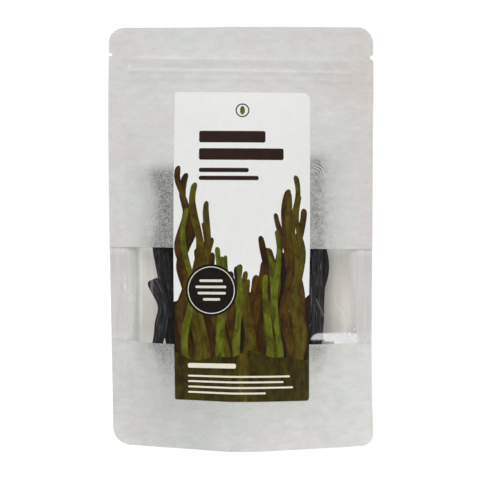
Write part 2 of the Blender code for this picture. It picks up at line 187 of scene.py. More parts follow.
def close_tube(edge: float) -> None:
    """Merge the active tube's seam, cap its ends, point its faces outwards and smooth turns under edge degrees."""
    edit_all(
        partial(bpy.ops.mesh.remove_doubles, threshold=1e-7),
        partial(bpy.ops.mesh.fill_holes, sides=0),
        partial(bpy.ops.mesh.normals_make_consistent, inside=False),
    )
    bpy.ops.object.shade_smooth_by_angle(angle=math.radians(edge))


def thicken(sheet: Object, thickness: float, turned: bool, **settings: object) -> None:
    """Give the active sheet its thickness, on the outside.

    Args:
        sheet: The active sheet.
        thickness: Its thickness.
        turned: Whether its faces point inwards, so that they are flipped first.
        settings: More settings of the Solidify modifier.
    """
    if turned:
        edit_all(partial(bpy.ops.mesh.flip_normals))
    solidify = sheet.modifiers.new("Thickness", "SOLIDIFY")
    for name, value in {"thickness": thickness, "offset": 1.0, **settings}.items():
        setattr(solidify, name, value)
    bpy.ops.object.modifier_apply(modifier=solidify.name)
    bpy.ops.object.shade_smooth_by_angle(angle=math.radians(SHEET_EDGE))


def finish_piece(piece: Object, node: str, materials: list[Material]) -> None:
    """Dress a piece and tie it to the CAD model.

    Args:
        piece: The finished mesh object.
        node: The CAD node that it stands for.
        materials: Its materials, in slot order.
    """
    faces = np.empty(len(piece.data.polygons), np.int32)
    piece.data.polygons.foreach_get("material_index", faces)
    piece.data.materials.clear()
    for material in materials:
        piece.data.materials.append(material)
    piece.data.polygons.foreach_set("material_index", faces)
    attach(piece, "root")
    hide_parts(node)
    LOG.info("%s: %d faces", piece.name, len(piece.data.polygons))


# Form of the filled pouch


@dataclass(frozen=True)
class PouchForm:
    """Shape of the filled pouch, in metres; every sheet is laid on it by its flat (x, height)."""

    height: float = 0.255
    flat_width: float = 0.161
    side_seal: float = 0.009
    corner_seal: float = 0.0004
    top_seal: float = 0.010
    top_corner: float = 0.0096
    bottom_corner: float = 0.0102
    bottom_corner_right: float = 0.0076
    foot_half_depth: float = 0.0145
    foot_lens_power: float = 1.12
    foot_lens_fade: float = 0.060
    foot_edge_x: tuple[float, ...] = (-0.0730, -0.0696, -0.029, -0.007, 0.006, 0.029, 0.045, 0.059, 0.073)
    foot_edge_rise: tuple[float, ...] = (0.0033, 0.0031, 0.0016, 0.0, 0.0, 0.0004, 0.0006, 0.0003, 0.0004)
    foot_rise_fade: float = 0.060
    web_tilt: float = 0.016
    web_tilt_fade: float = 0.016
    notch_height: float = 0.2376
    notch_depth: float = 0.0020
    notch_half_height: float = 0.0007
    notch_flare: Span = (0.0004, 0.0011)
    top_edge_x: tuple[float, ...] = (-0.080, -0.045, -0.022, -0.008, 0.032, 0.070, 0.080)
    top_edge_drop: tuple[float, ...] = (0.00075, 0.00065, 0.0005, 0.0001, 0.0002, 0.0005, 0.0003)
    top_drop_low: float = 0.229
    aside_height: tuple[float, ...] = (0.0, 0.014, 0.030, 0.055, 0.115, 0.145, 0.190, 0.218, 0.238, 0.255)
    aside_left: tuple[float, ...] = (0.0, 0.0, 0.05, 0.25, 0.50, 0.40, 0.12, -0.25, -0.80, -0.80)
    aside_right: tuple[float, ...] = (-0.2, -0.2, 0.30, 0.65, 0.58, 0.52, 0.50, 0.12, 0.27, 0.27)
    seal_gap: float = 0.0003
    zipper_height: float = 0.228
    zipper_half_length: float = 0.068
    zipper_hold: float = 0.00125
    zipper_band: float = 0.0055
    zipper_band_fade: float = 0.0110
    zipper_end_fade: float = 0.26
    window_bottom: float = 0.0642
    window_top: float = 0.1210
    window_lap: float = 0.006

    def bulge(self, height: Array) -> Array:
        """Half depth of the pouch on its middle line."""
        share = np.minimum(height / (self.height - self.top_seal), 1.0)
        return self.foot_half_depth * np.cos(np.pi / 2 * share)

    def half_width(self, height: Array) -> Array:
        """Half of the chord that a sheet spans once its bulge has drawn its sides in."""
        lens_half = self.flat_width / 2 - self.side_seal
        return self.flat_width / 2 - self.bulge(height) ** 2 * 2 / 3 / lens_half

    def corner_inset(self, height: Array, x: Array | float) -> Array:
        """How far a rounded corner cuts the side edge in, on the side of x."""
        bottom_corner = np.where(np.asarray(x) < 0, self.bottom_corner, self.bottom_corner_right)
        above = np.maximum(height - (self.height - self.top_corner), 0.0)
        below = np.maximum(bottom_corner - height, 0.0)
        top = self.top_corner - np.sqrt(np.maximum(self.top_corner**2 - above**2, 0.0))
        bottom = bottom_corner - np.sqrt(np.maximum(bottom_corner**2 - below**2, 0.0))
        return top + bottom

    def edge_x(self, height: Array, x: Array | float = -1.0) -> Array:
        """Half width of the cut sheet on the side of x, corners and tear notches included."""
        flare = np.where(np.asarray(x) < 0, *self.notch_flare)
        notch = np.clip(1 - (np.abs(height - self.notch_height) - self.notch_half_height) / flare, 0.0, 1.0)
        return self.half_width(height) - self.corner_inset(height, x) - self.notch_depth * notch

    def seal_x(self, height: Array, x: Array | float = -1.0) -> Array:
        """Where the side seal starts on the side of x."""
        return np.minimum(self.half_width(height) - self.side_seal, self.edge_x(height, x) - self.corner_seal)

    def seal_share(self, x: Array, height: Array) -> Array:
        """0 on the middle line and 1 from the side seal outwards."""
        return np.minimum(np.abs(x) / self.seal_x(height, x), 1.0)

    def aside(self, x: Array, height: Array) -> Array:
        """How far the sheets are drawn sideways beside the window's middle: their edges aren't quite straight."""
        left = np.interp(height, self.aside_height, self.aside_left)
        right = np.interp(height, self.aside_height, self.aside_right)
        return -MM * np.where(x < 0, left, right) * rise(np.abs(x), 0.044, 0.034)

    def inner_depth(self, x: Array, height: Array) -> Array:
        """Distance from the middle plane to a panel's inner face."""
        share = self.seal_share(x, height)
        fade = smooth(height / self.foot_lens_fade)
        power = self.foot_lens_power + (1 - self.foot_lens_power) * fade
        lens = (1 - share**2) ** power
        off_band = (np.abs(height - self.zipper_height) - self.zipper_band) / self.zipper_band_fade
        hold = self.zipper_hold * (1 - smooth(off_band)) * rise(1, share, self.zipper_end_fade)
        return self.seal_gap / 2 + np.maximum(self.bulge(height) * lens, hold)

    def foot_rise(self, x: Array, height: Array) -> Array:
        """How far the cut foot rises towards its corners."""
        edge = np.interp(x, self.foot_edge_x, self.foot_edge_rise)
        return edge * np.maximum(1 - height / self.foot_rise_fade, 0.0)

    def world_height(self, x: Array, height: Array) -> Array:
        """Height over the floor: the cut foot rises to its corners and the print runs askew."""
        raised = self.foot_rise(x, height)
        drop = np.interp(x, self.top_edge_x, self.top_edge_drop) * rise(height, self.top_drop_low, 0.010)
        to_edge = np.minimum(height, self.height - height)
        return height + (raised - drop) - self.web_tilt * x * np.minimum(to_edge / self.web_tilt_fade, 1.0)

    def points(self, x: Array, height: Array, offset: Array, side: int) -> Array:
        """Lay flat points on a panel.

        Args:
            x: Places across the flat sheet.
            height: Places up the flat sheet.
            offset: How far outside the panel's inner face each point lies.
            side: FRONT or BACK.

        Returns:
            An array like x with a last axis of three coordinates.
        """
        depth = side * (self.inner_depth(x, height) + offset)
        return np.stack([x + self.aside(x, height), depth, self.world_height(x, height)], axis=-1)


class Crumple:
    """Smooth random relief from -1 to 1 in the plane of a sheet."""

    def __init__(self, seed: int, size: int = 64) -> None:
        """Draw the lattice of values."""
        self.size = size
        self.lattice = np.random.default_rng(seed).uniform(-1, 1, (size, size))

    def at(self, x: Array, height: Array, length_x: float, length_h: float) -> Array:
        """Relief at places on the sheet, with waves of about the given lengths.

        Args:
            x: Places across.
            height: Places up.
            length_x: Size of the waves across.
            length_h: Size of the waves up.

        Returns:
            Values from -1 to 1.
        """
        across, up = x / length_x + 31.7, height / length_h + 17.3
        left, low = np.floor(across).astype(int), np.floor(up).astype(int)
        right_share, top_share = smooth(across - left), smooth(up - low)
        rows = []
        for row in (low, low + 1):
            start, end = (self.lattice[column % self.size, row % self.size] for column in (left, left + 1))
            rows.append(start * (1 - right_share) + end * right_share)
        return rows[0] * (1 - top_share) + rows[1] * top_share


@dataclass(frozen=True)
class Crease:
    """A soft fold line in a sheet, from one flat point to another."""

    start: Span
    end: Span
    half_width: float
    rise: float

    def at(self, x: Array, height: Array) -> Array:
        """Outward relief of the crease."""
        ax, ay = self.start
        dx, dy = self.end[0] - ax, self.end[1] - ay
        along = np.clip(((x - ax) * dx + (height - ay) * dy) / (dx * dx + dy * dy), 0.0, 1.0)
        away = np.hypot(x - ax - along * dx, height - ay - along * dy)
        return self.rise * (1 - smooth(away / self.half_width))


@dataclass(frozen=True)
class Relief:
    """Fine relief that stands on the pouch's plain form: zipper ridges, seals and wrinkles."""

    form: PouchForm = PouchForm()
    seed: int = 5
    # Each ridge: height over the zipper's middle, half width and relief.
    ridges: tuple[tuple[float, float, float], ...] = (
        (0.0070, 0.0013, 0.00003),
        (-0.0003, 0.0015, 0.00012),
        (-0.0052, 0.0012, 0.00003),
    )
    zipper_end: float = 0.0025
    # Each painted line of light or shade along the zipper: height over its middle, half width and how light it is
    # (below 0: painted shade).
    lines: tuple[tuple[float, float, float], ...] = (
        (0.0118, 0.0030, -0.55),
        (0.0038, 0.0022, -0.45),
        (0.0001, 0.0008, 0.60),
        (-0.0020, 0.0008, -0.70),
        (-0.0060, 0.0014, -0.50),
    )
    flange_line: Span = (0.0078, 0.0008)
    flange_fade: Span = (-0.01, 0.05)
    # Other places of painted light and shade: the zipper's crushed end, the darker foot, under and
    # beside the zipper, and the side seals; each as its start or middle, and its reach.
    crush_across: float = 0.0006
    crush_up: Span = (0.001, 0.0020)
    foot_lean: Span = (-0.03, 0.07)
    foot_left: Span = (-0.032, 0.028)
    foot_middle: Span = (0.050, 0.022)
    foot_clear: tuple = ((0.035, 0.020), (0.052, 0.022))
    foot_end: Span = (0.085, 0.050)
    under_zipper: tuple = ((0.058, 0.016), (0.203, 0.011))
    zipper_shade: tuple = ((0.071, 0.006), (0.221, 0.006))
    seal_light: Span = (0.0685, 0.003)
    seal_heights: tuple = ((0.12, 0.02), (0.205, 0.02))
    seal_step: float = 0.00008
    swell: float = 0.00018
    swell_length: Span = (0.030, 0.022)
    swell_share: float = 0.25
    small_swell_length: Span = (0.014, 0.012)
    pucker: float = 0.00010
    pucker_length: Span = (0.011, 0.0035)
    pucker_share: Span = (0.08, 0.14)
    fade: float = 0.02

    def zipper(self, x: Array, height: Array) -> Array:
        """Ridges that the zipper's flanges and rib press into the paper, crushed at its ends."""
        total = np.zeros_like(x)
        for above, half, ridge in self.ridges:
            away = np.abs(height - self.form.zipper_height - above) / half
            total = total + ridge * (1 - smooth(away))
        ends = (self.form.zipper_half_length - np.abs(x)) / self.zipper_end
        crush = 0.00040 * (1 - smooth(np.abs(ends) / 0.6)) * np.where(x < 0, 1.0, 0.4)
        crush = crush * (1 - rise(np.abs(height - self.form.zipper_height), 0.0012, 0.002))
        return total * smooth(ends) + crush

    def painted_light_and_shade(self, x: Array, height: Array) -> Array:
        """Painted light (above 0) and painted shade (below 0) on the paper: lighter lines on the zipper's ridges, light
        beside it, at its crushed end and at the seals, and shade under it and at the foot.
        """
        above = height - self.form.zipper_height
        total = np.zeros_like(x)
        for middle, half, level in self.lines:
            total = total + level * bell(above, middle, half)
        flange = bell(above, *self.flange_line) * (0.75 - 0.5 * rise(x, *self.flange_fade))
        ends = fall(np.abs(x), self.form.zipper_half_length, self.zipper_end)
        crush = bell(x, -self.form.zipper_half_length, self.crush_across) * bell(above, *self.crush_up)
        foot = 2.0 - 0.75 * rise(x, *self.foot_lean) + 0.66 * bell(x, *self.foot_left)
        foot = foot + 0.60 * (1 - rise(np.abs(x), *self.foot_middle))
        across, up = self.foot_clear
        foot = foot - 0.60 * rise(x, *across) * bell(height, *up)
        beside = 0.50 * hump(np.abs(x), height, self.under_zipper) - 0.60 * hump(x, height, self.zipper_shade)
        seal = 0.38 * rise(np.abs(x), *self.seal_light) * band(height, *self.seal_heights)
        return (total + flange) * ends + 0.9 * crush + beside + seal - foot * fall(height, *self.foot_end)

    def at(self, x: Array, height: Array) -> Array:
        """Relief that every sheet of a panel shares."""
        form = self.form
        share = form.seal_share(x, height)
        crumple = Crumple(self.seed)
        inside = fall(share, 1, self.swell_share) * fall(height, form.zipper_height - 0.008, self.fade)
        inside = inside * smooth(height / self.fade)
        swell = crumple.at(x, height, *self.swell_length)
        swell = swell + 0.5 * crumple.at(x + 0.4, height, *self.small_swell_length)
        near_seal = fall(share, 1, 0.06) * (1 - rise(1 - share, *self.pucker_share))
        near_seal = near_seal * fall(height, form.zipper_height - 0.012, self.fade)
        pucker = crumple.at(x + 0.9, height, *self.pucker_length)
        past_seal = np.abs(x) - form.seal_x(height, x)
        seal = self.seal_step * smooth(past_seal / 0.0012) * rise(height, 0.05, 0.03)
        return (
            self.zipper(x, height)
            + self.swell * inside * swell
            + self.pucker * near_seal * pucker
            + seal * fall(height, form.height, 0.004)
        )


# Finishes


class Finish:
    """A material, named for what the real one is and how it was made."""

    name: str

    def sockets(self, tree: NodeTree) -> dict:
        """Values and links of the shader's inputs, by the input's name."""
        raise NotImplementedError

    def material(self) -> Material:
        """Build the material."""
        material = bpy.data.materials.new(self.name)
        material.use_nodes = True
        tree = material.node_tree
        fill_inputs(tree, tree.nodes["Principled BSDF"], self.sockets(tree))
        return material


@dataclass(frozen=True)
class RicePaperFinish(Finish):
    """Rice paper laminated to film: matt and off-white, with laid lines, fibres and soft mottling.

    Painted shade greys and speckles the paper where dark strands press on it or lie behind it inside.
    """

    name: str
    colour: str = "#dddeda"
    cool: str = "#dadfd8"
    warm: str = "#dfd7d4"
    painted_strand_shade: str = "#5f605e"
    painted_strand_shade_strength: float = 0.72
    painted_light_and_shade_strength: float = 0.08
    arcs_centre: Span = (0.0425, 0.1645)
    arcs_middle: Span = (0.0478, 0.1690)
    arcs_spacing: float = 1.75 * MM
    arcs_reach: float = 6.5 * MM
    laid_spacing: float = 1.25 * MM
    fibre_width: float = 0.30 * MM
    fibre_length: float = 5.0 * MM
    roughness: float = 0.62

    def sockets(self, tree: NodeTree) -> dict:
        """Values and links of the shader's inputs."""
        node = partial(add_node, tree)
        place = node("TexCoord", out="Object")
        # Broad pink and green clouds, some 25 mm across, in an off-white sheet.
        cloud = node("TexNoise", {"Vector": place, "Scale": 40.0, "Detail": 3.0, "Roughness": 0.55})
        pink = node("MapRange", {"Value": cloud, "From Min": 0.46, "From Max": 0.70, "To Max": 0.40})
        warmth = node("Attribute", out="Fac", attribute_name="warmth")
        pink = node("Math", {0: pink, 1: warmth}, operation="ADD", use_clamp=True)
        green = node("MapRange", {"Value": cloud, "From Min": 0.50, "From Max": 0.30, "To Max": 0.45})
        tint = linear_colour(self.colour)
        for share, colour in ((pink, self.warm), (green, self.cool)):
            tint = node("Mix", {0: share, FIRST: tint, SECOND: linear_colour(colour)}, **COLOURS)
        # Long fibres that lie across the sheet.
        scale = (1 / self.fibre_length, 0.2 / self.fibre_width, 1 / self.fibre_width)
        weave = node("Mapping", {"Vector": place, "Scale": scale})
        weave = node("TexNoise", {"Vector": weave, "Scale": 1.0, "Detail": 2.0, "Roughness": 0.6, "Distortion": 0.6})
        # Laid lines left by the paper mould.
        lines = {"Vector": place, "Scale": WAVE_SCALE / self.laid_spacing, "Distortion": 1.5}
        lines.update({"Detail": 2.0, "Detail Scale": 2.0})
        laid = node("TexWave", lines, "Fac", wave_type="BANDS", bands_direction="Z")
        grain = node("TexNoise", {"Vector": place, "Scale": 900.0, "Detail": 3.0, "Roughness": 0.7})
        # Uneven pulp: blotches a few millimetres wide, drawn out across the sheet.
        pulp = node("Mapping", {"Vector": place, "Scale": (110.0, 110.0, 210.0)})
        pulp = node("TexNoise", {"Vector": pulp, "Scale": 1.0, "Detail": 3.0, "Roughness": 0.6})
        for layer, weight in ((laid, 0.07), (grain, 1.0), (pulp, 1.15)):
            weave = node("Math", {0: layer, 1: weight, 2: weave}, operation="MULTIPLY_ADD")
        shade = {"Value": weave, "From Min": 1.175, "From Max": 2.125, "To Min": 0.87, "To Max": 1.06}
        shade = node("MapRange", shade)
        # Painted light and shade: lighter lines along the zipper's crests, painted shade under it and towards the foot.
        painted_light_and_shade = node("Attribute", out="Fac", attribute_name="painted_light_and_shade")
        shade = node("Math", {0: painted_light_and_shade, 1: self.painted_light_and_shade_strength, 2: shade}, operation="MULTIPLY_ADD")
        marked = node("VectorMath", {0: tint, "Scale": shade}, operation="SCALE")
        # Painted shade: strands behind the sheet show through it as speckled grey.
        press_and_painted_shade = node("Attribute", out="Fac", attribute_name="press_and_painted_shade")
        speck = {"Vector": place, "Scale": 1000.0, "Detail": 2.0, "Roughness": 0.7, "Distortion": 1.0}
        speck = {"Value": node("TexNoise", speck), "From Min": 0.38, "From Max": 0.62, "To Min": 0.62, "To Max": 1.30}
        painted_strand_shade = node("Math", {0: press_and_painted_shade, 1: node("MapRange", speck)}, operation="MULTIPLY")
        # Painted shade of fine wrinkles, spread in arcs where the top of the mass at the right lifts the sheet.
        centred = []
        for (x, z), scale in ((self.arcs_centre, 1.0), (self.arcs_middle, 1.0 / self.arcs_reach)):
            shift = {"Vector": place, "Location": (-x * scale, 0.0, -z * scale), "Scale": (scale, 0.0, scale)}
            centred.append(node("Mapping", shift))
        rings = {"Vector": centred[0], "Scale": WAVE_SCALE / self.arcs_spacing, "Distortion": 2.2, "Detail": 1.0}
        arcs = node("TexWave", rings, "Fac", wave_type="RINGS", rings_direction="SPHERICAL")
        mask = node("TexGradient", {"Vector": centred[1]}, "Fac", gradient_type="SPHERICAL")
        arcs = node("Math", {0: arcs, 1: 0.5}, operation="SUBTRACT")
        arcs = node("Math", {0: arcs, 1: mask}, operation="MULTIPLY")
        arcs = node("Math", {0: arcs, 1: 1.6, 2: 1.0}, operation="MULTIPLY_ADD")
        painted_strand_shade = node("Math", {0: painted_strand_shade, 1: arcs}, operation="MULTIPLY")
        painted_strand_shade = node("Math", {0: painted_strand_shade, 1: self.painted_strand_shade_strength}, operation="MULTIPLY", use_clamp=True)
        gloss = {"Value": grain, "To Min": self.roughness - 0.08, "To Max": self.roughness + 0.08}
        return {
            "Base Color": node("Mix", {0: painted_strand_shade, FIRST: marked, SECOND: linear_colour(self.painted_strand_shade)}, **COLOURS),
            "Normal": node("Bump", {"Height": weave, "Strength": 0.35, "Distance": 0.06 * MM}),
            "Roughness": node("MapRange", gloss),
            "IOR": 1.46,
        }


@dataclass(frozen=True)
class LinerFinish(Finish):
    """The heat-sealing film inside the paper: clean, white and slightly glossy."""

    name: str = "heat_seal_liner"
    seal: str = "#cdcac7"
    cool: str = "#bbc0b7"
    warm: str = "#b8b2aa"
    daylight: str = "#fffef8"
    seal_lean: float = 0.040
    seal_middle: float = 0.0040
    roughness: float = 0.35

    def sockets(self, tree: NodeTree) -> dict:
        """Values and links of the shader's inputs."""
        node = partial(add_node, tree)
        place = node("TexCoord", out="Object")
        cloud = node("Mapping", {"Vector": place, "Scale": (420.0, 70.0, 26.0)})
        cloud = node("TexNoise", {"Vector": cloud, "Scale": 1.0, "Detail": 4.0, "Distortion": 0.6})
        # Warm in the middle, cooler beside the left seal, and pinkish where the seals, which lean, are pressed.
        parts = node("SeparateXYZ", {0: place}).node.outputs
        away = node("Math", {0: parts["Z"], 1: self.seal_lean, 2: parts["X"]}, operation="MULTIPLY_ADD")
        away = node("Math", {0: away, 1: self.seal_middle}, operation="SUBTRACT")
        away = node("Math", {0: away}, operation="ABSOLUTE")
        away = node("Math", {0: cloud, 1: 0.002, 2: away}, operation="MULTIPLY_ADD")
        to_cool = node("MapRange", {"Value": parts["X"], "From Min": -0.0602, "From Max": -0.0630})
        to_seal = node("MapRange", {"Value": away, "From Min": 0.0666, "From Max": 0.0690})
        tint = linear_colour(self.warm)
        for share, colour in ((to_cool, self.cool), (to_seal, self.seal)):
            tint = node("Mix", {0: share, FIRST: tint, SECOND: linear_colour(colour)}, **COLOURS)
        # Faint draw lines run up the film.
        level = node("MapRange", {"Value": cloud, "From Min": 0.3, "From Max": 0.7, "To Min": 0.93, "To Max": 1.07})
        return {
            "Base Color": node("VectorMath", {0: tint, "Scale": level}, operation="SCALE"),
            "Normal": node("Bump", {"Height": cloud, "Strength": 0.1, "Distance": 0.2 * MM}),
            "Roughness": self.roughness,
            # Daylight that comes through the thin sheet from behind.
            "Emission Color": linear_colour(self.daylight),
            "Emission Strength": node("Attribute", out="Fac", attribute_name="glow"),
        }


@dataclass(frozen=True)
class ClearFilmFinish(Finish):
    """Clear packaging film: almost unseen, with glossy creases, and painted highlights drawn on it in white."""

    name: str = "clear_polypropylene_film"
    colour: str = "#eef1f0"
    clear: float = 0.004
    roughness: float = 0.16

    def sockets(self, tree: NodeTree) -> dict:
        """Values and links of the shader's inputs."""
        # Painted highlights: where the attribute is high the film turns opaque white.
        white = add_node(tree, "Attribute", out="Fac", attribute_name="painted_highlight")
        return {
            "Alpha": add_node(tree, "Math", {0: white, 1: self.clear}, operation="ADD", use_clamp=True),
            "Base Color": linear_colour(self.colour),
            "Roughness": self.roughness,
            "IOR": 1.49,
        }


class Ink(Enum):
    """Printed colours of the label: the ink and the one that it is mottled with."""

    GROUND = ("#f1f2ef", "#eff0ed")
    TITLE = ("#2e1a12", "#2a1812")
    MOSS = ("#646c16", "#42430a")
    OLIVE = ("#564e0f", "#3f2e06")
    BRONZE = ("#523b0c", "#352006")
    UMBER = ("#3d2709", "#271804")
    NIGHT = ("#1a1512", "#15110f")
    CREAM = ("#e6e2d2", "#e4e0d0")


@dataclass(frozen=True)
class LabelFinish(Finish):
    """Semi-gloss printed label paper; the fronds are printed in mottled inks that darken at their edges."""

    ink: Ink
    streak: float = 0.0
    edge: float = 0.0
    edge_start: float = 1.2 * MM
    edge_end: float = 3.8 * MM
    roughness: float = 0.42

    @property
    def name(self) -> str:
        """Name of the paper in this ink."""
        return f"label_paper_{self.ink.name.lower()}"

    def sockets(self, tree: NodeTree) -> dict:
        """Values and links of the shader's inputs."""
        node = partial(add_node, tree)
        sheet = node("UVMap", uv_map="Print")
        # Blots of the second ink, some 5 mm wide and twice as long.
        blot = node("Mapping", {"Vector": sheet, "Scale": (210.0, 100.0, 1.0)})
        blot = node("TexNoise", {"Vector": blot, "Scale": 1.0, "Detail": 5.0, "Roughness": 0.62, "Distortion": 0.5})
        blot = node("MapRange", {"Value": blot, "From Min": 0.40, "From Max": 0.62})
        ink, mottling = (linear_colour(colour) for colour in self.ink.value)
        mottled = node("Mix", {0: blot, FIRST: ink, SECOND: mottling}, **COLOURS)
        # Fine lengthwise streaks, under 1 mm wide.
        streaks = node("Mapping", {"Vector": sheet, "Scale": (1400.0, 60.0, 1.0)})
        streaks = node("TexNoise", {"Vector": streaks, "Scale": 1.0, "Detail": 4.0, "Roughness": 0.65})
        level = {"Value": streaks, "From Min": 0.32, "From Max": 0.68}
        level |= {"To Min": 1 - self.streak, "To Max": 1 + self.streak}
        # The print's map is centred on each frond, so its first axis says how near its edge is.
        aside = node("SeparateXYZ", {0: sheet}, "X")
        aside = node("Math", {0: aside, 1: 0.25, 2: -0.25}, operation="WRAP")
        aside = node("Math", {0: aside}, operation="ABSOLUTE")
        edge = {"Value": aside, "From Min": self.edge_start, "From Max": self.edge_end, "To Min": 1.0}
        edge["To Max"] = 1 - self.edge
        level = node("Math", {0: node("MapRange", level), 1: node("MapRange", edge)}, operation="MULTIPLY")
        return {
            "Base Color": node("VectorMath", {0: mottled, "Scale": level}, operation="SCALE"),
            "Roughness": self.roughness,
            "IOR": 1.48,
            "Specular IOR Level": 0.2,
        }


@dataclass(frozen=True)
class DriedSeaweedFinish(Finish):
    """Dried brown algae: near-black, leathery, with lengthwise wrinkles and pale blue-grey flecks, partly a bloom of
    salt and partly painted sheen.
    """

    name: str = "dried_seaweed"
    dark: str = "#0b080a"
    light: str = "#2b282e"
    bloom_and_sheen: str = "#858a94"

    def sockets(self, tree: NodeTree) -> dict:
        """Values and links of the shader's inputs."""
        node = partial(add_node, tree)
        fine = node("Mapping", {"Vector": node("UVMap", uv_map="Strand"), "Scale": (1700.0, 75.0, 1.0)})
        wrinkle = {"Vector": fine, "Scale": 1.0, "Detail": 5.0, "Roughness": 0.65, "Distortion": 0.4}
        wrinkle = node("TexNoise", wrinkle)
        # Lighter lines and pale flecks along the wrinkles: partly the alga's own tone and salt, partly painted sheen.
        light = node("MapRange", {"Value": wrinkle, "From Min": 0.43, "From Max": 0.62})
        salt_and_sheen = node("MapRange", {"Value": wrinkle, "From Min": 0.58, "From Max": 0.70, "To Max": 0.70})
        shown = linear_colour(self.dark)
        for share, colour in ((light, self.light), (salt_and_sheen, self.bloom_and_sheen)):
            shown = node("Mix", {0: share, FIRST: shown, SECOND: linear_colour(colour)}, **COLOURS)
        return {
            "Base Color": shown,
            "Normal": node("Bump", {"Height": wrinkle, "Strength": 0.7, "Distance": 0.4 * MM}),
            "Roughness": 0.55,
            "Specular IOR Level": 0.22,
        }


@dataclass(frozen=True)
class ZipperPlasticFinish(Finish):
    """Extruded low-density polyethylene: milky, waxy and faintly drawn along its length."""

    name: str = "extruded_polyethylene"
    colour: str = "#e4e5e2"

    def sockets(self, tree: NodeTree) -> dict:
        """Values and links of the shader's inputs."""
        node = partial(add_node, tree)
        drawn = node("Mapping", {"Vector": node("TexCoord", out="Object"), "Scale": (30.0, 2500.0, 2500.0)})
        lines = node("TexNoise", {"Vector": drawn, "Scale": 1.0, "Detail": 2.0})
        return {
            "Base Color": linear_colour(self.colour),
            "Normal": node("Bump", {"Height": lines, "Strength": 0.3, "Distance": 0.05 * MM}),
            "Roughness": node("MapRange", {"Value": lines, "To Min": 0.25, "To Max": 0.45}),
        }


@dataclass(frozen=True)
class PaperSweepFinish(Finish):
    """The studio's white paper sweep, lit from below round the pouch, which falls off towards the camera."""

    name: str = "white_paper_sweep"
    colour: str = "#404040"
    glow: float = 0.99
    glow_start: float = -0.16
    glow_full: float = -0.11

    def sockets(self, tree: NodeTree) -> dict:
        """Values and links of the shader's inputs."""
        node = partial(add_node, tree)
        place = node("TexCoord", out="Object")
        grain = node("TexNoise", {"Vector": place, "Scale": 900.0, "Detail": 2.0})
        glow = {"Value": node("SeparateXYZ", {0: place}, "Y"), "From Min": self.glow_start, "From Max": self.glow_full}
        glow.update({"To Min": 0.0, "To Max": self.glow})
        return {
            "Base Color": linear_colour(self.colour),
            "Normal": node("Bump", {"Height": grain, "Strength": 0.1, "Distance": 0.2 * MM}),
            "Roughness": 0.9,
            "Emission Color": (1.0, 1.0, 1.0, 1.0),
            "Emission Strength": node("MapRange", glow, interpolation_type="SMOOTHSTEP"),
        }


# Dried strands


@dataclass(frozen=True)
class Layer:
    """One layer of strands through the depth of the pouch, which all flow alike."""

    depth: float
    lean: float
    wave: float
    wave_length: float
    phase: float
    margin: float = 0.00125
    middle: float = 0.110

    def lay(self, form: PouchForm, across: Array, z: Array) -> Array:
        """Lay places (across, z) at this layer's depth."""
        depth = self.depth * (form.inner_depth(across, z) - self.margin)
        return np.stack([across, depth, z], axis=-1)

    def run(self, form: PouchForm, x: Array | float, z: Array) -> Array:
        """Lay a strand that would run straight at x."""
        swing = self.wave * np.sin(2 * np.pi * z / self.wave_length + self.phase)
        return self.lay(form, x + swing + self.lean * (z - self.middle), z)


@dataclass(frozen=True)
class Strand:
    """One dried strap: its middle line, widths and twists, each given station by station."""

    points: Array
    widths: Array
    twists: Array
    seed: int
    thickness: float = 0.0013
    around: int = 16
    ridge: float = 0.00014
    tip: float = 0.0011
    tip_share: float = 0.66
    flow_length: float = 0.021
    crinkle: float = 0.05
    crinkle_length: float = 0.0043
    curl: float = 0.28
    curl_length: float = 0.034

    def rings(self) -> Array:
        """Sections along the strap: a flat oval with lengthwise ridges and curled edges.

        Returns:
            An array of stations, places around and coordinates; the last place repeats the first.
        """
        rng = np.random.default_rng(self.seed)
        count = len(self.points)
        tangents = np.gradient(self.points, axis=0)
        tangents /= np.linalg.norm(tangents, axis=1, keepdims=True)
        side = np.array([1.0, 0.0, 0.0]) - tangents * tangents[:, :1]
        side /= np.linalg.norm(side, axis=1, keepdims=True)
        out = np.cross(tangents, side)
        turn = self.twists[:, None]
        across = side * np.cos(turn) + out * np.sin(turn)
        lift = out * np.cos(turn) - side * np.sin(turn)
        steps = np.linalg.norm(np.diff(self.points, axis=0), axis=1)
        length = np.concatenate([[0.0], np.cumsum(steps)])
        to_end = np.minimum(length, length[-1] - length)
        ending = self.tip_share + (1 - self.tip_share) * np.sqrt(np.clip(to_end / self.tip, 0.0, 1.0))
        angles = np.linspace(0.0, 2 * np.pi, self.around + 1)
        phases = rng.uniform(0, 2 * np.pi, 6)
        rings = np.empty((count, self.around + 1, 3))
        for index, angle in enumerate(angles):
            wide, thick = math.cos(angle), math.sin(angle)
            flow = length / self.flow_length + phases[0]
            ridges = np.sin(5 * angle + phases[1] + 0.8 * np.sin(flow))
            ridges = ridges + 0.6 * np.sin(9 * angle + phases[2] + 1.3 * np.sin(flow * 1.7 + phases[3]))
            edge = 0.0 if wide > 0 else 1.9
            crinkle = 1 + self.crinkle * np.sin(length / self.crinkle_length + phases[4] + edge)
            reach = wide * self.widths / 2 * ending * crinkle
            curl = self.curl * self.thickness * (wide**2 - 0.4) * np.sin(length / self.curl_length + phases[5])
            up = (thick * self.thickness / 2 + self.ridge * ridges) * ending + curl
            rings[:, index] = self.points + across * reach[:, None] + lift * up[:, None]
        rings[:, -1] = rings[:, 0]
        return rings


